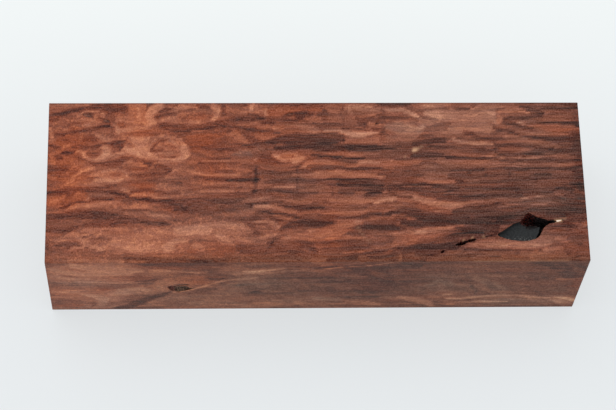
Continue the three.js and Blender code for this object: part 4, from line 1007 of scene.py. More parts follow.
# Marks across the figure: the dark seams where the plumes meet, and pale flecks. Some flecks are real specks
# of resin; others are painted highlights: the white glint in the slit by the big hollow, glints on the rims
# of the slits and the shelf, and the thin highlight along the top's front edge. The strength is in
# hundredths, and the course is as above.
marks = [
    ("top", "seam", 65, 6.7,20.8,2, 6.6,18,2, 6.7,15,1.5, 6.9,12,2, 6.9,10,1.5),
    ("top", "seam", 40, 16.8,19.5,1.2, 17,18.3,1.2), ("top", "seam", 35, 16.7,16,1.5, 16.2,13.5,3.5,
     15.8,11.5,3.5, 15.8,10.3,2.5), ("top", "seam", 55, -14.6,3.6,3, -14.7,1,4.5, -15,-2.8,4),
    ("top", "seam", 40, -4.6,4,2, -5,-3,2), ("top", "seam", 50, 4,-1,1.2, 3.6,-4,2),
    ("top", "seam", 40, 45.2,21,2, 45,19.5,2, 44.4,17.8,2.5, 44,16,2), ("top", "seam", 35, 43.8,15,2.5,
     43.5,13.5,2.5, 43.3,12.5,2.5), ("top", "seam", 30, -32.5,-6.5,1.5, -35,-12,2, -37.5,-16,2,
     -38,-19,1.5), ("top", "seam", 40, -9.5,-14,1.5, -11,-16,2, -13,-19.5,1.5),
    ("top", "seam", 35, -18,-17.5,1.5, -19,-21,1.5), ("top", "seam", 45, 40.8,2.5,1.2, 41,1,1.2),
    ("top", "seam", 45, 46.8,2.5,1.5, 47,0.9,1.5), ("top", "seam", 35, 53.2,1,1.2, 53,-0.8,1.2),
    ("top", "seam", 50, 15.2,13.65,1, 14,13.6,0.8), ("top", "seam", 50, 43,-6,1.2, 44.5,-6.2,1.5),
    ("top", "fleck", 16, 9.2,-12,2, 11,-15,2, 12.4,-16.2,2), ("top", "fleck", 85, 23.9,8.2,5.5,
     24.3,8.25,5), ("top", "fleck", 40, 24.6,8.6,2.2, 25.7,9.1,2), ("top", "fleck", 40, 21.6,6.3,2.5,
     21.8,6.3,2), ("top", "fleck", 40, 39.3,-14.9,2.2, 39.8,-14.9,2), ("top", "fleck", 12, -23.9,-6.4,2.5,
     -23.6,-6.4,2.5), ("top", "fleck", 30, 59.2,-10.4,2, 59.5,-10.3,2),
    # A painted highlight: the white glint in the shallow slit by the big hollow
    ("top", "fleck", 98, 56.8,-10.95,2.6, 57.7,-10.8,4.2, 58.6,-10.65,2.8),
    # A painted highlight along the top's front edge, then the dark seams by the front pocket
    ("top", "fleck", 25, 37,-21.3,1.2, 60,-21.3,1.2), ("front", "seam", 75, -34.6,15.2,3, -33,15.6,5,
     -31,16,3.5), ("front", "seam", 45, -31,15.6,3, -30,14.6,3), ("top", "seam", 55, -56.6,18.3,4,
     -55.2,18,7, -54.2,17.3,4), ("top", "seam", 45, -52,16.9,4, -51,16.5,6, -50.4,15.6,3),
    ("top", "seam", 60, -7.6,17.7,4, -6.2,18.1,6, -4.9,18.4,3), ("top", "seam", 40, 14.2,15.3,3,
     15.2,15.5,4.5, 16.4,15.7,2), ("top", "fleck", 75, 34.5,-15.95,1, 34.8,-15.85,1.2),
    # Painted glints on the rims of the slits and along the shelf's lower rim
    ("top", "fleck", 75, 36.6,-15.35,1, 37.1,-15.2,1.2), ("top", "fleck", 60, 46.2,-15.2,0.6, 48.2,-15.35,1,
     50.2,-15.15,1, 51.6,-14.6,0.6),
]


# How a streak is laid on: its full core, and the soft edge round it. The finished tone is crisped, and the
# darkest and lightest tones are drawn in past the knees.
painting = {
    "core": 0.86,
    "softLeast": 0.16,
    "softShare": 0.26,
    "strength": 0.95,
    "crispness": 0.5,
    "crispRounds": 4,
    "lowKnee": 0.27,
    "highKnee": 0.74,
    "kneeBend": 0.5,
}

# Broad soft patches that lie lighter or darker than the streaks alone make them: the shift in tone in
# hundredths, then the middle (x, y) or (x, z) and the reach each way, in millimetres
topShades = [
    (9, -45, -10, 16, 4.5), (10, -50, -18, 14, 3.5), (8, -36, -19, 5, 2.5), (5, -60, 4, 6, 8),
    (5, -55, 1.5, 5, 4), (8, -44, 17, 6, 5), (5, -33, 18, 6, 4), (10, -44, 7, 3, 4), (8, -33, 7, 2, 3),
    (6, 10, 18, 8, 4), (14, 26, 17, 7, 5), (7, 22, 12, 8, 4), (7, 45, 18, 12, 4), (7, 2, 4, 12, 2),
    (7, 14, 3.5, 6, 1.5), (6, 7, -5, 10, 3), (7, 24, -6, 8, 3), (7, 29, -2, 3, 1.5), (7, 33, -6, 3, 1.5),
    (4, -5, 1, 4, 6), (4, 50, -19, 8, 2), (5, 5, -13, 3, 2), (-15, 61, -10, 4, 3), (-6, 62, -3, 4, 3),
    (-8, 64, 5, 2, 8), (-4, 62, 16, 3, 5), (-12, 39, -12, 4, 2.5), (-8, 45, -11.5, 3, 2),
    (-8, 35, -15, 4, 3), (-7, 36, -17.5, 3, 2), (-9, 10, -17, 4, 2.5), (-4, 17, -14, 5, 3),
    (-5, -27, 6, 6, 3), (-6, -32, 3, 2.5, 3), (-7, -31, -8, 3, 4), (-5, -48, -4.5, 8, 1),
    (-5, 45, -5, 12, 2), (-6, 55, 2, 6, 1.5), (-6, -43, 7.5, 3, 1.5), (-5, -62, -2, 5, 5),
    (-5, -50, -5.5, 12, 1), (-7, 9, 13, 6, 1), (-5, -9, 6, 1.5, 2), (-6, -5, 16, 3, 1.5),
    (-5, -17, -12.5, 2, 2), (-8, 22, -20, 6, 1.5), (-5, -50, 16, 4, 3), (5, 50, -17.5, 4, 1.5),
    (7, -48, -18, 6, 1.5), (5, -36, -20, 4, 1.5), (5, 28, -15, 4, 1), (7, -8, 18, 3, 1.5),
    (5, -16, 19, 3, 2), (6, 25, 18.5, 6, 1.5), (6, 30, 11.5, 4, 1.5), (5, 43, 0, 4, 1.5),
    (5, 52, 7, 5, 1.5), (4, 8, 0, 8, 1), (-12, 60, -11, 5, 4), (-8, 62, -4, 5, 4), (-5, 63, -15, 3, 5),
    (-5, 64, 5, 2, 6), (-8, 25, 10, 5, 2.5), (10, -37, 9, 4, 2.5), (8, -47, 7, 4, 1.5), (-6, -34, -6, 3, 3),
    (8, -18, -9, 4, 2), (8, -6, -13, 6, 1.5), (6, -29, -16, 5, 3), (-6, 2, -14, 2, 3),
    (-9, 11, -10, 4, 1.5), (7, 6, -7.5, 6, 1.5), (7, 28, 16, 4, 2), (6, 24, -8, 4, 1.5), (-6, 44, 8, 5, 2),
    (5, 57, 5, 5, 1.5), (6, 14, -17, 3, 2.5), (6, 29, -15, 5, 1.5), (-6, 8, -18, 3, 3),
    (-5, 47, -6, 7, 2.5), (6, 42, -18.5, 4, 1.5), (6, 52, -19, 4, 2), (-5, -11, 7, 5, 3), (-5, 4, 7, 4, 2),
    (-5, -60, 9, 4, 3), (-5, -42, 13, 3, 3), (6, -47, 14, 3, 2), (5, -46, -18, 6, 2), (5, -38, -12, 5, 1.5),
    (5, -50, -4, 4, 1.5), (5, 47, 18, 6, 2), (5, -24, -10, 3, 2), (5, -33, 19, 3, 2), (5, 0, 3.5, 3, 2),
    (12, 28, 20, 4, 1.5), (-7, 37, -12, 9, 2.5), (-5, 19, -12, 5, 3), (-6, 46, -9, 7, 2),
    (-8, 25, 8.5, 5, 3), (-10, 64.5, 3, 1.5, 9), (-12, 64.5, 17, 1.5, 4), (-5, 45, 8, 6, 2),
    (7, -44, 7, 4, 3), (6, -57, 2, 4, 4), (6, -54, 14, 4, 2), (-5, -47, -5, 6, 1.5), (-6, -34, -7, 4, 3),
    (8, -48, -18, 5, 1.5), (8, 52, -19, 4, 2), (5, -29, 15, 4, 2), (-6, -52, -12, 3, 2.5),
    (-5, 3, 6.5, 4, 1.5), (-4, -5, -8, 8, 2), (6, -3, -2, 3, 1.5), (-3, 30, 0, 35, 14), (6, -35, -20, 5, 2),
    (-5, -20, -19, 4, 3),
]
frontShades = [
    (12, -57, 22, 9, 7), (8, -57, 20, 5, 2.5), (10, -50, 20.5, 6, 1.2), (10, -57, 9, 7, 6),
    (10, -55, 6, 3, 3), (10, -47, 9, 3, 3), (10, -37, 23.5, 4, 2), (12, -15, 23.5, 6, 1.5),
    (5, -33, 5, 10, 5), (6, 0, 25, 4, 3), (9, -3, 5, 16, 5), (6, 12, 3, 12, 3), (13, 40, 7, 24, 3.5),
    (12, 62, 6, 4, 3), (7, 45, 17, 14, 5), (-6, 12, 18, 12, 9), (-6, 22, 27, 8, 3), (-7, -16, 10, 3, 3),
    (-6, -39, 9, 4, 2), (-7, -26, 20, 3, 4), (-6, -41, 18, 3, 1.5), (-5, 57, 23, 8, 6),
    (10, 48, 4, 14, 2.5), (10, 60, 5, 5, 2.5), (8, -42, 12, 4, 3), (6, -37, 16, 2, 2), (-5, 20, 12, 40, 9),
    (-7, 9, 8, 3, 4), (5, -10, 23.5, 3, 1.5), (-5, 22, 24, 5, 4), (-8, 20, 26, 9, 3), (-6, 40, 26, 12, 3),
    (-10, 59, 12, 6, 5), (-7, 17, 14, 5, 4), (-6, 40, 12, 5, 4), (14, -50, 7, 3.5, 3.5), (6, -55, 20, 8, 3),
    (8, -61, 27, 5, 3), (6, -45, 15, 6, 4), (5, -38, 15, 3, 4), (7, -32, 5, 8, 3), (10, -4, 6, 5, 3),
    (8, -10, 2, 10, 3), (7, -7, 18, 5, 2), (5, -15, 22, 5, 1.5), (8, 28, 8, 8, 2.5), (8, 43, 5, 4, 2.5),
    (5, 34, 16, 4, 3), (8, 24, 22.5, 4, 2), (7, -37, 22.5, 3, 1.5), (5, 5, 2, 8, 2), (-6, -25, 19, 5, 3),
    (-5, -15, 10, 4, 3), (-6, -28, 10, 3, 2), (-5, -42, 19, 4, 2), (10, -61, 11, 5, 5),
    (12, -54, 28, 8, 1.5), (8, -32, 14, 3, 3), (8, 21, 9, 3, 2), (7, 22, 3, 6, 2), (8, 33, 3, 3, 2),
    (-7, 46, 20, 4, 2.5), (-6, 21, 16, 3, 4), (-5, -5, 24, 4, 3), (6, 51, 4, 4, 2), (-6, 9, 5, 4, 4),
    (-5, 25, 28, 15, 2), (-6, 55, 27, 8, 3), (-5, -29, 27, 6, 2), (7, 62, 3, 3, 2), (-6, -40, 9, 3, 2),
    (-5, 63, 18, 3, 6), (6, -49, 8, 2, 4), (6, -55, 17, 2, 6), (6, -47, 10, 3, 2), (6, -14, 22.5, 6, 1.5),
    (6, -15, 6, 8, 2), (6, 33, 10, 5, 4), (6, 44, 3.5, 4, 2), (6, 15, 2, 3, 2), (-5, 10, 21, 6, 4),
    (-6, -41, 17, 4, 2), (-5, 15, 10, 4, 4), (6, -34, 14, 4, 2), (-5, -30, 9, 4, 2),
]

# The same for the colour: where the wood is more orange or greyer than its streaks make it
topGlows = [
    (100, -59, 1, 4.5, 6), (50, -60, 10, 5, 5), (60, -43, 16, 4, 6), (30, -52, 19, 8, 3),
    (45, -41, 4, 4, 4), (50, -26, 3, 4, 4), (45, -42, -3, 4, 2), (35, -27, 12, 6, 5), (40, -60, -6, 3, 3),
    (20, -10, 14, 8, 4), (-45, -33, -10.5, 16, 2.2), (-60, -14, -5, 5, 5), (-45, -4, -1, 5, 3),
    (-40, -13, 8, 5, 2.5), (50, -7, 6, 6, 1.5), (-25, 1, 11, 4, 4), (40, 3, -12, 4, 6), (-45, 29, 16, 4, 3),
    (-40, 29, 5, 6, 5), (-50, 54, 6, 12, 10), (-60, 52, -7, 8, 2.5), (-50, 60, -6, 5, 3),
    (-40, 55, -15, 4, 3), (30, 28, -7, 4, 3), (-30, 40, -11, 6, 3), (-30, 40, -3, 8, 4), (-30, 16, 7, 8, 2),
    (25, 14, 13, 5, 2), (20, 25, 14, 3, 2), (-35, -62, -18, 4, 3), (-30, -48, -20, 6, 2),
    (-30, 15, -14, 4, 3), (-25, -18, -10, 6, 3), (25, -22, -18, 5, 3), (20, 47, 9, 4, 2),
    (-20, 40, -18, 8, 3), (-25, 52, 18, 10, 4),
]
frontGlows = [
    (50, -33, 27, 14, 3), (60, -29, 17, 5, 3.5), (30, -42, 20, 8, 4), (60, 4, 25, 8, 4), (50, 13, 16, 4, 6),
    (30, -53, 25, 10, 4), (50, -52, 12, 3, 2.5), (-50, -18, 15, 9, 4), (-30, -5, 8, 8, 4),
    (-35, 41, 12, 10, 6), (-50, 48, 4, 8, 2.5), (-35, 58, 3, 6, 3), (-40, -33, 6, 6, 5),
    (-35, 30, 15, 5, 7), (-30, -46, 10, 6, 3), (-30, 60, 10, 4, 5), (30, 25, 24, 10, 3),
    (30, -62, 12, 4, 4), (40, 64, 15, 2, 6), (-30, -56, 17, 5, 3), (30, -25, 18, 4, 3),
    (-35, -10, 17, 4, 4), (-35, 0, 7, 8, 4), (30, 50, 25, 14, 3), (-40, 48, 4, 6, 2), (30, 19, 16, 6, 3),
    (-30, -49, 5, 4, 3), (20, -5, 27, 14, 3), (-20, -21, 8, 5, 4),
]

# Where the wood is speckled instead of streaked
speckled = [
    (90, 24, 16, 11, 6), (90, 39, 16, 9, 6), (90, -26, -14, 12, 4.5), (90, 53, -18, 12, 3),
    (60, 2, -14, 10, 3), (60, 10, 13, 9, 2.5), (60, 22, -15, 10, 3), (50, 28, -6, 8, 2),
]


def pathCover(flat, path):
    # How far a streak covers each place: 1 in its core, fading out over a soft edge that widens with it
    nearest = np.full(len(flat), 99.0)
    points = np.array(path, float)
    if len(points) == 1:
        points = np.repeat(points, 2, axis=0)
    for start, end in zip(points[:-1], points[1:]):
        along = end[:2] - start[:2]
        share = np.clip(((flat - start[:2]) @ along) / max(along @ along, 0.0001), 0, 1)
        away = flat - start[:2] - share[:, None] * along
        width = start[2] + (end[2] - start[2]) * share
        edge = np.hypot(away[:, 0], away[:, 1]) - painting["core"] * width
        nearest = np.minimum(nearest, edge / (painting["softLeast"] + painting["softShare"] * width))
    return smooth(-nearest, -1, 0.9)


def patches(flat, settings):
    total = np.zeros(len(flat))
    for amount, x, v, reachAlong, reachAcross in settings:
        away = ((flat[:, 0] - x) / reachAlong) ** 2 + ((flat[:, 1] - v) / reachAcross) ** 2
        total += amount / 100 * np.exp(-away)
    return total


def paintStreaks(flat, streaks, tone, warmth):
    for wantedTone, wantedWarmth, path in streaks:
        points = np.array(path, float)
        spread = points[:, 2].max() * (painting["core"] + painting["softShare"]) + painting["softLeast"]
        low = points[:, :2].min(axis=0) - spread
        high = points[:, :2].max(axis=0) + spread
        near = np.nonzero(np.all((flat > low) & (flat < high), axis=1))[0]
        if not len(near):
            continue
        cover = pathCover(flat[near], path) * painting["strength"]
        tone[near] += (wantedTone - tone[near]) * cover
        warmth[near] += (wantedWarmth - warmth[near]) * cover


# The hidden faces: streaks and burl eyes grown through the whole block, by rule
hidden = {
    "groundSeed": 40,
    "contrast": 1.1,
    "dim": 0.03,
    "slope": 0.9,
    "slide": 0.35,
    "drift": 3.0,
    "driftDepth": 8,
    "driftSizes": ((16, 9, 9), (13, 8, 8)),
    "driftSeed": 44,
    "seed": 7,
    "streaks": 190,
    "streakBox": ((-65, 65), (-24, 24), (-2, 32)),
    "streakLength": (5, 22),
    "streakWidth": (0.35, 1.5),
    "streakThickness": (0.8, 2.2),
    "lean": 0.05,
    "bend": 1.2,
    "bendLength": 9,
    "streakEdge": (-1.4, -0.4),
    "streakCover": 0.85,
    "darkShare": 0.5,
    "dark": ((0.2, 0.36), (-0.2, 0.2)),
    "pale": ((0.52, 0.7), (0, 0.7)),
    "eyes": 12,
    "eyeBox": ((-65, -20), (lowCorner[1], highCorner[1]), (0, 30)),
    "eyeSize": ((3, 5.5), (2, 3.5), (2, 3.5)),
    "eyeCover": 0.8,
    "eyeRim": (0.72, 0.15),
    "eyeCore": (0.5, 0.5),
}


def growHidden(places, settings, tone, warmth):
    draw = np.random.default_rng(settings["seed"])
    for _ in range(settings["streaks"]):
        centre = np.array([draw.uniform(*span) for span in settings["streakBox"]])
        length = draw.uniform(*settings["streakLength"])
        wide = draw.uniform(*settings["streakWidth"])
        thick = wide * draw.uniform(*settings["streakThickness"])
        lean = draw.normal(0, settings["lean"])
        rise = draw.normal(0, settings["lean"])
        away = places - centre
        near = np.nonzero(np.abs(away[:, 0]) < length)[0]
        away = away[near]
        bend = settings["bend"] * np.sin(away[:, 0] / settings["bendLength"] + draw.uniform(0, 6))
        across = (away[:, 1] - lean * away[:, 0] - bend) / wide
        up = (away[:, 2] - rise * away[:, 0] + bend) / thick
        taper = np.sqrt(np.maximum(1 - (away[:, 0] / length) ** 2, 0.0001))
        cover = smooth(-np.hypot(across, up) / taper, *settings["streakEdge"]) * settings["streakCover"]
        tones, warmths = settings["dark"] if draw.random() < settings["darkShare"] else settings["pale"]
        tone[near] += (draw.uniform(*tones) - tone[near]) * cover
        warmth[near] += (draw.uniform(*warmths) - warmth[near]) * cover
    for _ in range(settings["eyes"]):
        centre = np.array([draw.uniform(*span) for span in settings["eyeBox"]])
        size = np.array([draw.uniform(*span) for span in settings["eyeSize"]])
        away = np.linalg.norm((places - centre) / size, axis=1)
        rim = smooth(-np.abs(away - 1), -0.4, -0.05) * settings["eyeCover"]
        core = smooth(-away, -0.85, -0.5) * settings["eyeCover"]
        for cover, (wantedTone, wantedWarmth) in ((rim, settings["eyeRim"]), (core, settings["eyeCore"])):
            tone += (wantedTone - tone) * cover
            warmth += (wantedWarmth - warmth) * cover


def foldIn(value, low, high):
    # Turned back at each end, so that it never leaves the span
    span = high - low
    return low + span - np.abs((value - low) % (2 * span) - span)


def carriedOn(places, settings, fray, wander):
    # Where the top's figure is met again, carried over the edges and down the block in slanting layers
    x, y, z = places.T
    fall = topFace - z
    drift = settings["drift"] * smooth(fall, 0, settings["driftDepth"])
    sizes, seed = settings["driftSizes"], settings["driftSeed"]
    along = x + settings["slide"] * fall + drift * smoothNoise(places, sizes[0], seed) + fray
    across = y - settings["slope"] * fall + drift * smoothNoise(places, sizes[1], seed + 1)
    across += ground["wanderShare"] * wander
    spans = zip((along, across), lowCorner, highCorner)
    return np.column_stack([foldIn(value, low, high) for value, low, high in spans])


# The ground under the streaks, and how the figure strays from its courses. Each kind of lump is its strength
# and its size (x, y, z) in millimetres, and each span is where a change begins and ends.
ground = {
    "middle": 0.5,
    "tone": 0.47,
    "toneLumps": ((0.1, (14, 3, 3)), (0.06, (6, 1.2, 1.2))),
    "warmth": 0.2,
    "warmthLumps": ((0.3, (16, 4, 4)),),
    "wanderLumps": ((0.45, (7, 2.5, 2.5)), (0.28, (2.2, 1.1, 1.1))),
    "wanderSeed": 3,
    "wanderShare": 0.6,
    "frayLumps": ((0.6, (5, 0.9, 0.9)),),
    "fraySeed": 5,
    "burlSpan": (-25, 40),
    "paintedDepth": 12,
    "faceDepth": 2.2,
    "faceFall": 1.5,
}
topLook = {
    "seed": 20,
    "contrast": 1.1,
    "dim": 0.025,
    "dimRight": 0.045,
    "dimSpan": (-30, 40),
    "burlLift": 0.35,
    "liftBelow": 0.38,
    "burlWarmth": 0.35,
    "burlWarmthSpan": (-0.6, -0.35),
    "coolRight": 0.35,
    "coolSpan": (-20, 30),
    "coolTones": (0.45, 0.7),
    "farEdgeShade": 0.12,
    "farEdgeShadeSpan": (20.5, 21.2),
}
frontLook = {
    "seed": 30,
    "contrast": 1.25,
    "level": 0.44,
    "dimRight": 0.1,
    "dimSpan": (-40, 0),
    "coolRight": 0.25,
    "coolPale": 1.5,
    "coolAbove": 0.42,
    "slant": (0.7, 0.5),
    "curlLumps": ((1.0, (1.8, 7, 5)), (0.6, (0.9, 4, 4))),
    "curlSeed": 35,
    "curl": 0.05,
    "curlLeast": 0.3,
    "curlSpan": (-25, 5),
}


def baseFigure(places, seed):
    # The quiet ground that the streaks lie on
    tone = ground["tone"] + lumps(places, ground["toneLumps"], seed)
    warmth = ground["warmth"] + lumps(places, ground["warmthLumps"], seed + 2)
    return tone, warmth


def paintNear(near, flat, streaks, tone, warmth):
    nearTone, nearWarmth = tone[near], warmth[near]
    paintStreaks(flat[near], streaks, nearTone, nearWarmth)
    tone[near], warmth[near] = nearTone, nearWarmth


def topFigureOf(places, fray, wander, settings):
    x, y, z = places.T
    leftness = smooth(-x, *ground["burlSpan"])
    tone, warmth = baseFigure(places, settings["seed"])
    flat = np.column_stack([x + fray, y + ground["wanderShare"] * wander])
    paintNear(np.nonzero(topFace - z < ground["paintedDepth"])[0], flat, topFigure, tone, warmth)
    middle = ground["middle"]
    tone = middle + (tone - middle) * settings["contrast"] + patches(places[:, :2], topShades)
    tone -= settings["dim"] + settings["dimRight"] * smooth(x, *settings["dimSpan"])
    tone += settings["burlLift"] * leftness * np.maximum(settings["liftBelow"] - tone, 0)
    warmth += settings["burlWarmth"] * leftness * smooth(-tone, *settings["burlWarmthSpan"])
    warmth -= settings["coolRight"] * smooth(x, *settings["coolSpan"]) * smooth(tone, *settings["coolTones"])
    warmth += patches(places[:, :2], topGlows)
    # Painted shade along the far edge, where the eased arris turns away from the light
    tone -= settings["farEdgeShade"] * smooth(y, *settings["farEdgeShadeSpan"])
    return tone, warmth


def frontFigureOf(places, fray, wander, settings):
    x, y, z = places.T
    tone, warmth = baseFigure(places, settings["seed"])
    tone -= settings["dimRight"] * smooth(x, *settings["dimSpan"])
    flat = np.column_stack([x + fray, z + ground["wanderShare"] * wander])
    paintNear(np.nonzero(y - frontFace < ground["paintedDepth"])[0], flat, frontFigure, tone, warmth)
    # This side is greyer where it is lighter, and curled slantwise across its right half
    warmth -= settings["coolRight"] * smooth(x, *settings["dimSpan"])
    warmth -= settings["coolPale"] * (tone - settings["coolAbove"])
    ahead, down = settings["slant"]
    slant = np.column_stack([x + ahead * z, z - down * x, y])
    curl = lumps(slant, settings["curlLumps"], settings["curlSeed"])
    least = settings["curlLeast"]
    tone += settings["curl"] * curl * (least + (1 - least) * smooth(x, *settings["curlSpan"]))
    warmth += patches(places[:, (0, 2)], frontGlows)
    level = settings["level"]
    tone = level + (tone - level) * settings["contrast"] + patches(places[:, (0, 2)], frontShades)
    return tone, warmth


def hiddenFigureOf(places, fray, wander, near, settings):
    tone, warmth = baseFigure(places, settings["groundSeed"])
    nearTone, nearWarmth = tone[near], warmth[near]
    flat = carriedOn(places[near], settings, fray[near], wander[near])
    paintStreaks(flat, topFigure, nearTone, nearWarmth)
    strayed = places + np.column_stack([fray, wander, -wander])
    growHidden(strayed[near], settings, nearTone, nearWarmth)
    tone[near], warmth[near] = nearTone, nearWarmth
    middle = ground["middle"]
    return middle + (tone - middle) * settings["contrast"] - settings["dim"], warmth


def figureOf(places):
    # Tone and warmth of the wood at each place: the top's and front's own figure near those faces
    wander = lumps(places, ground["wanderLumps"], ground["wanderSeed"])
    fray = lumps(places, ground["frayLumps"], ground["fraySeed"])
    depths = np.maximum([topFace - places[:, 2], places[:, 1] - frontFace], 0) / ground["faceDepth"]
    weights = list(np.exp(-depths ** ground["faceFall"]))
    weights.append(np.clip(1 - sum(weights), 0, 1))
    near = np.nonzero(weights[2] > 0.01)[0]
    faces = (topFigureOf(places, fray, wander, topLook),
             frontFigureOf(places, fray, wander, frontLook),
             hiddenFigureOf(places, fray, wander, near, hidden))
    total = sum(weights)
    return [sum(face[k] * weight for face, weight in zip(faces, weights)) / total for k in (0, 1)]


def crisped(mesh, tone, settings):
    # Each tone is pushed away from the mean round it, so that the streaks' edges stand out
    ends = np.empty(len(mesh.edges) * 2, np.int32)
    mesh.edges.foreach_get("vertices", ends)
    here, there = np.concatenate([ends.reshape(-1, 2), ends.reshape(-1, 2)[:, ::-1]]).T
    count = np.bincount(here, minlength=len(tone)) + 1
    mean = tone
    for _ in range(settings["crispRounds"]):
        mean = (mean + np.bincount(here, mean[there], len(tone))) / count
    return tone + settings["crispness"] * (tone - mean)


# What the vertices tell the wood: where there is bark and of which kind, where the burl lies, how the grain
# runs, and how deep a mark goes. Spans are in millimetres, and each is where a change begins and ends.
telling = {
    "hollowSpan": (0.03, 0.12),
    "frontBark": 2,
    "pitSpan": (-28, -24),
    "crumbHole": (52.3, -10.2),
    "crumbReach": (4.2, 1.7),
    "crumbEdge": (-1.15, -0.85),
    "crumbLeftOf": (-44, -43),
    "crumbBefore": (13, 13.5),
    "crumbAndShadeDepth": (1.6, 2.2),
    "burlLeast": 0.25,
    "burlTones": (0.3, 0.58),
    "speckleSpan": (20, 28),
    "wobble": 0.3,
    "wobbleSize": 1.4,
    "wobbleSeed": 71,
    "seamDepth": (-4, -1),
    "fleckDepth": (-0.7, -0.3),
    "swirlSeed": 61,
    "swirl": (0.9, (9, 6, 6)),
    "swirlLeft": 0.5,
    "swirlLess": 0.3,
    "swirlSpan": (-15, 10),
    "swirlSmall": (4, 2.5, 2.5),
    "swirlByTone": (1.5, 2.5),
    "swirlUp": 0.7,
    "straightFrom": -10,
    "straightening": 0.32,
    "oliveSpan": (-3, -0.5),
    "oliveLess": 0.6,
    "oliveLeft": (35, 50),
}


def marksOn(places, settings):
    # The dark seams, and the pale flecks that are resin specks and painted glints, each by its own depth
    # under its face
    x, y, z = places.T
    found = {"seam": np.zeros(len(x)), "fleck": np.zeros(len(x))}
    wobble = settings["wobble"] * smoothNoise(places, settings["wobbleSize"], settings["wobbleSeed"])
    for face, kind, strength, *points in marks:
        flat = np.column_stack([x, y if face == "top" else z])
        if kind == "seam":
            flat = flat + wobble[:, None]
        away = (topFace - z) if face == "top" else (y - frontFace)
        cover = pathCover(flat, course(points)) * strength / 100 * smooth(-away, *settings[kind + "Depth"])
        np.maximum(found[kind], cover, out=found[kind])
    return found["seam"], found["fleck"]


def grainOn(places, tone, leftness, settings):
    # The grain swirls round the burl, and runs straighter and longer to the right of it
    x, y, z = places.T
    strength, size = settings["swirl"]
    seed = settings["swirlSeed"]
    swirl = strength * smoothNoise(places, size, seed)
    small = settings["swirlLeft"] - settings["swirlLess"] * smooth(x, *settings["swirlSpan"])
    swirl += small * smoothNoise(places, settings["swirlSmall"], seed + 1)
    least, more = settings["swirlByTone"]
    swirl += (least + more * leftness) * (tone - ground["tone"])
    first = settings["straightFrom"]
    along = np.minimum(x, first) + settings["straightening"] * np.maximum(x - first, 0)
    return np.column_stack([along, y + swirl, z + settings["swirlUp"] * swirl])


def barkOn(places, crumbs, below, settings):
    # Bark of the front pocket, crumbs in the deep hollows of the top, and the floors of the buds' pits
    x, y, z = places.T
    rind = (y < frontFace + settings["frontBark"]).astype(float)
    pit = smooth(-x, *settings["pitSpan"]) * (1 - rind)
    away = (((places[:, :2] - settings["crumbHole"]) / settings["crumbReach"]) ** 2).sum(axis=1)
    # Walls deeper than the given span take the near-black crumb colour: partly the crumbs' own colour, partly
    # painted shade deep in the hollows
    crumbly = smooth(-away, *settings["crumbEdge"]) + smooth(below, *settings["crumbAndShadeDepth"])
    crumbly += smooth(-x, *settings["crumbLeftOf"]) * smooth(-y, *settings["crumbBefore"])
    crumbly = np.maximum(crumbs, np.clip(crumbly, 0, 1) * (1 - rind))
    return np.column_stack([rind, crumbly, pit])


def paintBlock(mesh, settings):
    places = placesOf(mesh)
    crumbs = np.zeros(len(places), np.float32)
    if "crumb" in mesh.attributes:
        mesh.attributes["crumb"].data.foreach_get("value", crumbs)
    x, y, z = places.T
    tone, warmth = figureOf(places)
    tone = crisped(mesh, tone, painting)
    low, high, bend = (painting[name] for name in ("lowKnee", "highKnee", "kneeBend"))
    tone += bend * np.maximum(low - tone, 0) - bend * np.maximum(tone - high, 0)
    below = belowSurface(places)
    leftness = smooth(-x, *ground["burlSpan"])
    least = settings["burlLeast"]
    burl = (least + (1 - least) * leftness) * smooth(tone, *settings["burlTones"])
    burl += patches(places[:, :2], speckled) * smooth(z, *settings["speckleSpan"])
    olive = smooth(frontFace - y, *settings["oliveSpan"])
    olive *= 1 - settings["oliveLess"] * smooth(-x, *settings["oliveLeft"])
    seam, fleck = marksOn(places, settings)
    setAttribute(mesh, "figure", np.column_stack([tone, warmth, np.clip(burl, 0, 1)]))
    setAttribute(mesh, "marks", np.column_stack([seam, fleck, smooth(below, *settings["hollowSpan"])]))
    setAttribute(mesh, "grain", grainOn(places, tone, leftness, settings))
    setAttribute(mesh, "bark", barkOn(places, crumbs, below, settings))
    setAttribute(mesh, "olive", olive)


# The wood's colours from slate dark to pale, where it is dull and where it is warm, less the sheen
ramps = {
    "sheen": 0.011,
    "tones": (0.0, 0.12, 0.25, 0.4, 0.55, 0.7, 0.85, 1.0),
    "dull": ((44, 36, 35), (65, 48, 43), (87, 61, 54), (108, 76, 66), (131, 92, 79), (154, 111, 94),
             (178, 130, 109), (202, 157, 133)),
    "warm": ((50, 34, 31), (72, 42, 36), (101, 54, 42), (128, 66, 46), (153, 82, 56), (176, 100, 69),
             (195, 120, 85), (216, 149, 111)),
}


def rampStops(settings, name):
    stops = []
    for tone, shade in zip(settings["tones"], settings[name]):
        stops.append((tone, tuple(max(c - settings["sheen"], 0.003) for c in linear(*shade))))
    return stops


# The noises of the wood: the size (x, y, z) of their lumps in millimetres along the grain, and their detail
noises = {
    "bands": ((9.0, 1.0, 1.0), 2.0),
    "lines": ((5.0, 0.34, 0.34), 2.0),
    "hairs": ((4.0, 0.2, 0.2), 1.0),
    "ochre": ((1.6, 0.5, 0.5), 2.0),
    "fibres": ((1.3, 0.24, 0.24), 1.0),
}

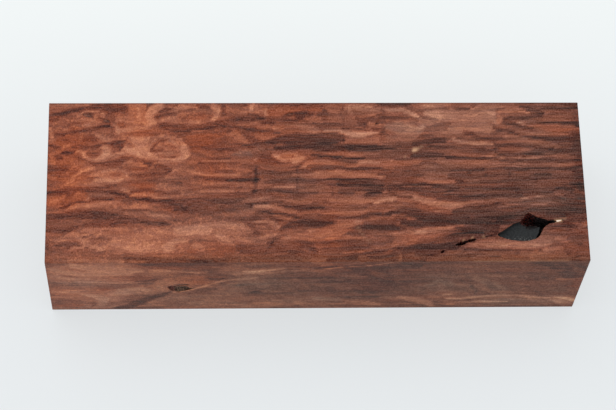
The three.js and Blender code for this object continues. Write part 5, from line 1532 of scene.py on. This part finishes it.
# How each of them shows in the tone, and over which part of its range
finish = {
    "bandRange": (0.33, 0.67),
    "bands": 0.13,
    "lineRange": (0.36, 0.64),
    "lines": 0.13,
    "hairRange": (0.62, 0.72),
    "hairs": 0.055,
    "lineCalmInBurl": 0.85,
    "lineCalmInFront": 0.45,
    "bandCalmInFront": 0.4,
    "curlSize": (1.2, 0.9, 0.9),
    "curlTwist": 1.2,
    "curlInBurl": 0.5,
    "curl": 0.06,
    "layers": 0.03,
    "layerTurns": (44, 10, 4),
    "veinWidth": 0.045,
    "veinInBurl": 0.15,
    "vein": 0.01,
    "veinRange": (0.35, 0.6),
    "seam": 0.7,
    "arcs": 0.08,
    "arcTurns": 4.6,
    "arcRange": (0.2, 1.0),
    "arcBend": 9.0,
    "arcBendSize": (7.0, 7.0, 7.0),
    "heart": (47.0, 38.0),
    "endSpan": (64.5, 64.8),
    "tintByBands": 0.8,
    "tintByCurl": 0.9,
    "tintMiddle": 0.42,
    "tintShare": 0.5,
    "speckleSize": (0.28, 0.42, 0.36),
    "fineSpeckle": 2.3,
    "fineSpeckleLessInBurl": 0.3,
    "fineFibres": 1.3,
    "fine": 0.6,
    "glint": 0.045,
    "poreRange": (0.6, 0.7),
    "pores": 0.25,
    "glintDotRange": (0.62, 0.7),
    "glintDots": 0.03,
    "olive": (1.0, 1.04, 0.93),
    "ochre": 0.3,
    "roughness": 0.52,
    "roughByFibres": 0.2,
    "roughInHollow": 0.1,
    "bumpByFibres": 0.5,
    "bumpBySpeckle": 0.3,
    "bumpInHollow": 3.0,
    "bump": 0.25,
    "bumpDepth": 0.00004,
    "shine": 0.14,
}

# Bark: each kind has a dark and a pale colour and the part of the lumps' range between them. The front's bark
# is redder at its left end, and dark red crumbs lie at the upper tip of the big hollow.
bark = {
    "lumpSize": (0.5, 0.5, 0.5),
    "slate": ((36, 37, 38), (46, 48, 49)),
    "slateRange": (0.35, 0.65),
    # The pale grey painted on the shelf's lower rim is a painted highlight, the light caught on its edge
    "slateGlint": (116, 116, 112),
    "rimGlintRange": (0.55, 0.65),
    "rimGlintBefore": -14.1,
    "rimGlints": 0.8,
    "rind": ((58, 43, 36), (122, 94, 78)),
    "rindRed": ((66, 34, 31), (124, 76, 66)),
    "rindRange": (0.38, 0.68),
    "rindRedLeftOf": -34.0,
    # The near-black crumb colour is both the crumbs' own and painted shade where the hollows are deepest
    "crumb": ((17, 13, 13), (38, 28, 27)),
    "crumbRed": (98, 34, 26),
    "crumbRange": (0.42, 0.65),
    "redTip": (52.9, 0.7, -11.6, 0.9),
    "redSlit": (43.5, 0.6),
    "pit": ((82, 50, 42), (132, 84, 68)),
    # These pale colours serve both the real specks of resin and the painted glints and highlights
    "resin": ((204, 158, 122), (236, 222, 206)),
    "resinRange": (0.9, 0.93),
}


def opaque(shade):
    return (*linear(*shade), 1)


def woodShade(tree, wires, settings):
    # How light the wood is, from its painted tone and the lines, bands and curls of its grain
    names = ("tone", "burl", "olive", "bands", "lines", "hairs", "curl")
    tone, burl, olive, bands, lines, hairs, curl = (wires[name] for name in names)
    turns = settings["layerTurns"]
    # Growth lines lie along the streaks' edges, and in the burl thin dark veins wind among its eyes
    layers = (tone * turns[0] + curl * turns[1] + lines * turns[2]).sum("SINE")
    veins = 1 - (curl - 0.5).sum("ABSOLUTE").ramp(0.0, settings["veinWidth"])
    hair = hairs.ramp(*settings["hairRange"]) - (1 - hairs).ramp(*settings["hairRange"])
    # The lines are strongest in the straight wood of the top, and faint in the burl and on the front
    straight = (1 - burl * settings["lineCalmInBurl"]) * (1 - olive * settings["lineCalmInFront"])
    broad = (bands.ramp(*settings["bandRange"]) - 0.5) * (1 - olive * settings["bandCalmInFront"])
    shade = tone + broad * settings["bands"]
    shade = shade + (lines.ramp(*settings["lineRange"]) - 0.5) * straight * settings["lines"]
    shade = shade + (curl - 0.5) * (burl * settings["curlInBurl"] + settings["curl"])
    shade = shade + layers * settings["layers"] + hair * straight * settings["hairs"]
    vein = veins * (burl * settings["veinInBurl"] + settings["vein"])
    shade = shade - vein * lines.ramp(*settings["veinRange"])
    # On the sawn ends the growth layers show as arcs round a heart that lies outside the block
    x, y, z = tree.parts(wires["places"])
    bend = tree.noise(wires["places"], settings["arcBendSize"], detail=2.0) * settings["arcBend"]
    heart = tree.vector(0.0, y + settings["heart"][0], z + settings["heart"][1])
    radius = tree.add("ShaderNodeVectorMath", {"operation": "LENGTH"}, {0: heart}, output=1)
    arcs = ((radius + bend) * settings["arcTurns"]).sum("SINE").ramp(*settings["arcRange"])
    shade = shade - arcs * x.sum("ABSOLUTE").ramp(*settings["endSpan"]) * settings["arcs"]
    return (shade - wires["seam"] * (lines * settings["seam"])).clamped()


def woodColour(tree, wires, settings):
    names = ("burl", "bands", "curl", "speckle", "fibres")
    burl, bands, curl, speckle, fibres = (wires[name] for name in names)
    shade = woodShade(tree, wires, settings)
    dullColour = tree.add("ShaderNodeValToRGB", {"stops": rampStops(ramps, "dull")}, {"Fac": shade})
    warmColour = tree.add("ShaderNodeValToRGB", {"stops": rampStops(ramps, "warm")}, {"Fac": shade})
    tint = wires["warmth"] + (bands - 0.5) * settings["tintByBands"]
    tint = tint + (curl - 0.5) * burl * settings["tintByCurl"]
    tint = (tint * settings["tintShare"] + settings["tintMiddle"]).clamped()
    colour = tree.mixed(tint, dullColour, warmColour)
    # The finest fibres and pores change the brightness alone
    fine = (speckle - 0.5) * (settings["fineSpeckle"] - burl * settings["fineSpeckleLessInBurl"])
    fine = fine + (fibres - 0.5) * (settings["fineFibres"] - burl)
    pores = speckle.ramp(*settings["poreRange"]) * burl * settings["pores"]
    glintDots = (1 - speckle).ramp(*settings["glintDotRange"]) * burl * settings["glintDots"]
    dim = 1 + fine * settings["fine"] - pores
    colour = tree.mixed(1.0, colour, tree.vector(dim, dim, dim), "MULTIPLY")
    # Painted glints: the fine noise and, in the burl, pale dots are added as grey, standing in for tiny
    # highlights on the sanded face
    glint = fine * settings["glint"] + glintDots
    colour = colour + tree.vector(glint, glint, glint)
    colour = tree.mixed(wires["olive"], colour, tree.vector(*settings["olive"]), "MULTIPLY")
    return colour * tree.vector(1.0, 1.0, 1 + (wires["ochre"] - 0.5) * settings["ochre"])


def barkColour(tree, wires, settings):
    lump, speckle = wires["lump"], wires["speckle"]
    x, y, _ = tree.parts(wires["places"])
    slate = tree.mixed(lump.ramp(*settings["slateRange"]), *map(opaque, settings["slate"]))
    # Painted highlight: pale specks along the shelf's lower rim stand in for the light caught on its edge
    litLowerRim = (settings["rimGlintBefore"] - y).clamped() * settings["rimGlints"]
    rimGlints = speckle.ramp(*settings["rimGlintRange"]) * litLowerRim
    slate = tree.mixed(rimGlints, slate, opaque(settings["slateGlint"]))
    redEnd = (settings["rindRedLeftOf"] - x).clamped()
    shades = zip(settings["rind"], settings["rindRed"])
    rind = [tree.mixed(redEnd, opaque(plain), opaque(red)) for plain, red in shades]
    colour = tree.mixed(wires["rind"], slate, tree.mixed(lump.ramp(*settings["rindRange"]), *rind))
    right, rise, low, climb = settings["redTip"]
    redTip = ((right - x) * rise).clamped() * ((y - low) * climb).clamped()
    end, share = settings["redSlit"]
    redTip = redTip.sum("MAXIMUM", (end - x).clamped() * share)
    black, pale = settings["crumb"]
    pale = tree.mixed(redTip, opaque(pale), opaque(settings["crumbRed"]))
    crumb = tree.mixed(lump.ramp(*settings["crumbRange"]), opaque(black), pale)
    colour = tree.mixed(wires["crumbly"], colour, crumb)
    pit = tree.mixed(lump.ramp(*settings["slateRange"]), *map(opaque, settings["pit"]))
    return tree.mixed(wires["pit"], colour, pit)


def woodMaterial(settings):
    wood = bpy.data.materials.new("stabilizedBurl")
    wood.use_nodes = True
    tree = Tree(wood.node_tree)
    shader = wood.node_tree.nodes["Principled BSDF"]

    def attribute(name, output="Vector"):
        told = {"attribute_name": name, "attribute_type": "GEOMETRY"}
        return tree.add("ShaderNodeAttribute", told, {}, output=output)

    wires = dict(zip(("tone", "warmth", "burl"), tree.parts(attribute("figure"))))
    wires.update(zip(("seam", "fleck", "hollow"), tree.parts(attribute("marks"))))
    wires.update(zip(("rind", "crumbly", "pit"), tree.parts(attribute("bark"))))
    wires["olive"] = attribute("olive", "Fac")
    grain = attribute("grain")
    for name, (size, detail) in noises.items():
        wires[name] = tree.noise(grain, size, detail=detail)
    wires["curl"] = tree.noise(grain, settings["curlSize"], detail=3.0, distortion=settings["curlTwist"])
    places = tree.add("ShaderNodeTexCoord", {}, {}, output="Object") * tree.vector(1000.0, 1000.0, 1000.0)
    wires["places"] = places
    wires["speckle"] = tree.noise(places, settings["speckleSize"], detail=2.0)
    wires["lump"] = tree.noise(places, bark["lumpSize"], detail=4.0)
    hollow, fleck, fibres = wires["hollow"], wires["fleck"], wires["fibres"]
    colour = tree.mixed(hollow, woodColour(tree, wires, settings), barkColour(tree, wires, bark))
    # Pale colour over the flecks: real resin specks, and painted highlights and glints
    resin = tree.mixed(fleck.ramp(*bark["resinRange"]), *map(opaque, bark["resin"]))
    colour = tree.mixed(fleck, colour, resin)
    roughness = settings["roughness"] + (fibres - 0.5) * settings["roughByFibres"]
    roughness = roughness + hollow * settings["roughInHollow"]
    height = fibres * settings["bumpByFibres"] + wires["speckle"] * settings["bumpBySpeckle"]
    height = height + wires["lump"] * hollow * settings["bumpInHollow"]
    inputs = {"Height": height, "Strength": settings["bump"], "Distance": settings["bumpDepth"]}
    bump = tree.add("ShaderNodeBump", {}, inputs)
    for name, wire in (("Base Color", colour), ("Roughness", roughness), ("Normal", bump)):
        wood.node_tree.links.new(wire.socket, shader.inputs[name])
    shader.inputs["Specular IOR Level"].default_value = settings["shine"]
    return wood


wood = woodMaterial(finish)
blockMesh = makeBlock(block, wood)
print("stage 3: the block is sawn,", len(blockMesh.polygons), "faces")
blockMesh = cutHollows(blockMesh, hollows, wood)
print("stage 4: the hollows are cut,", len(blockMesh.polygons), "faces")
blockMesh = strewCrumbs(blockMesh, crumble, wood)
print("stage 5: the bark has crumbled,", len(blockMesh.polygons), "faces")
paintBlock(blockMesh, telling)
print("stage 6: the figure is laid on")

blockMesh.shade_smooth()
piece = bpy.data.objects.new("redwood_burl_block", blockMesh)
bpy.context.collection.objects.link(piece)
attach(piece, "root")
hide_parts("burl_block")
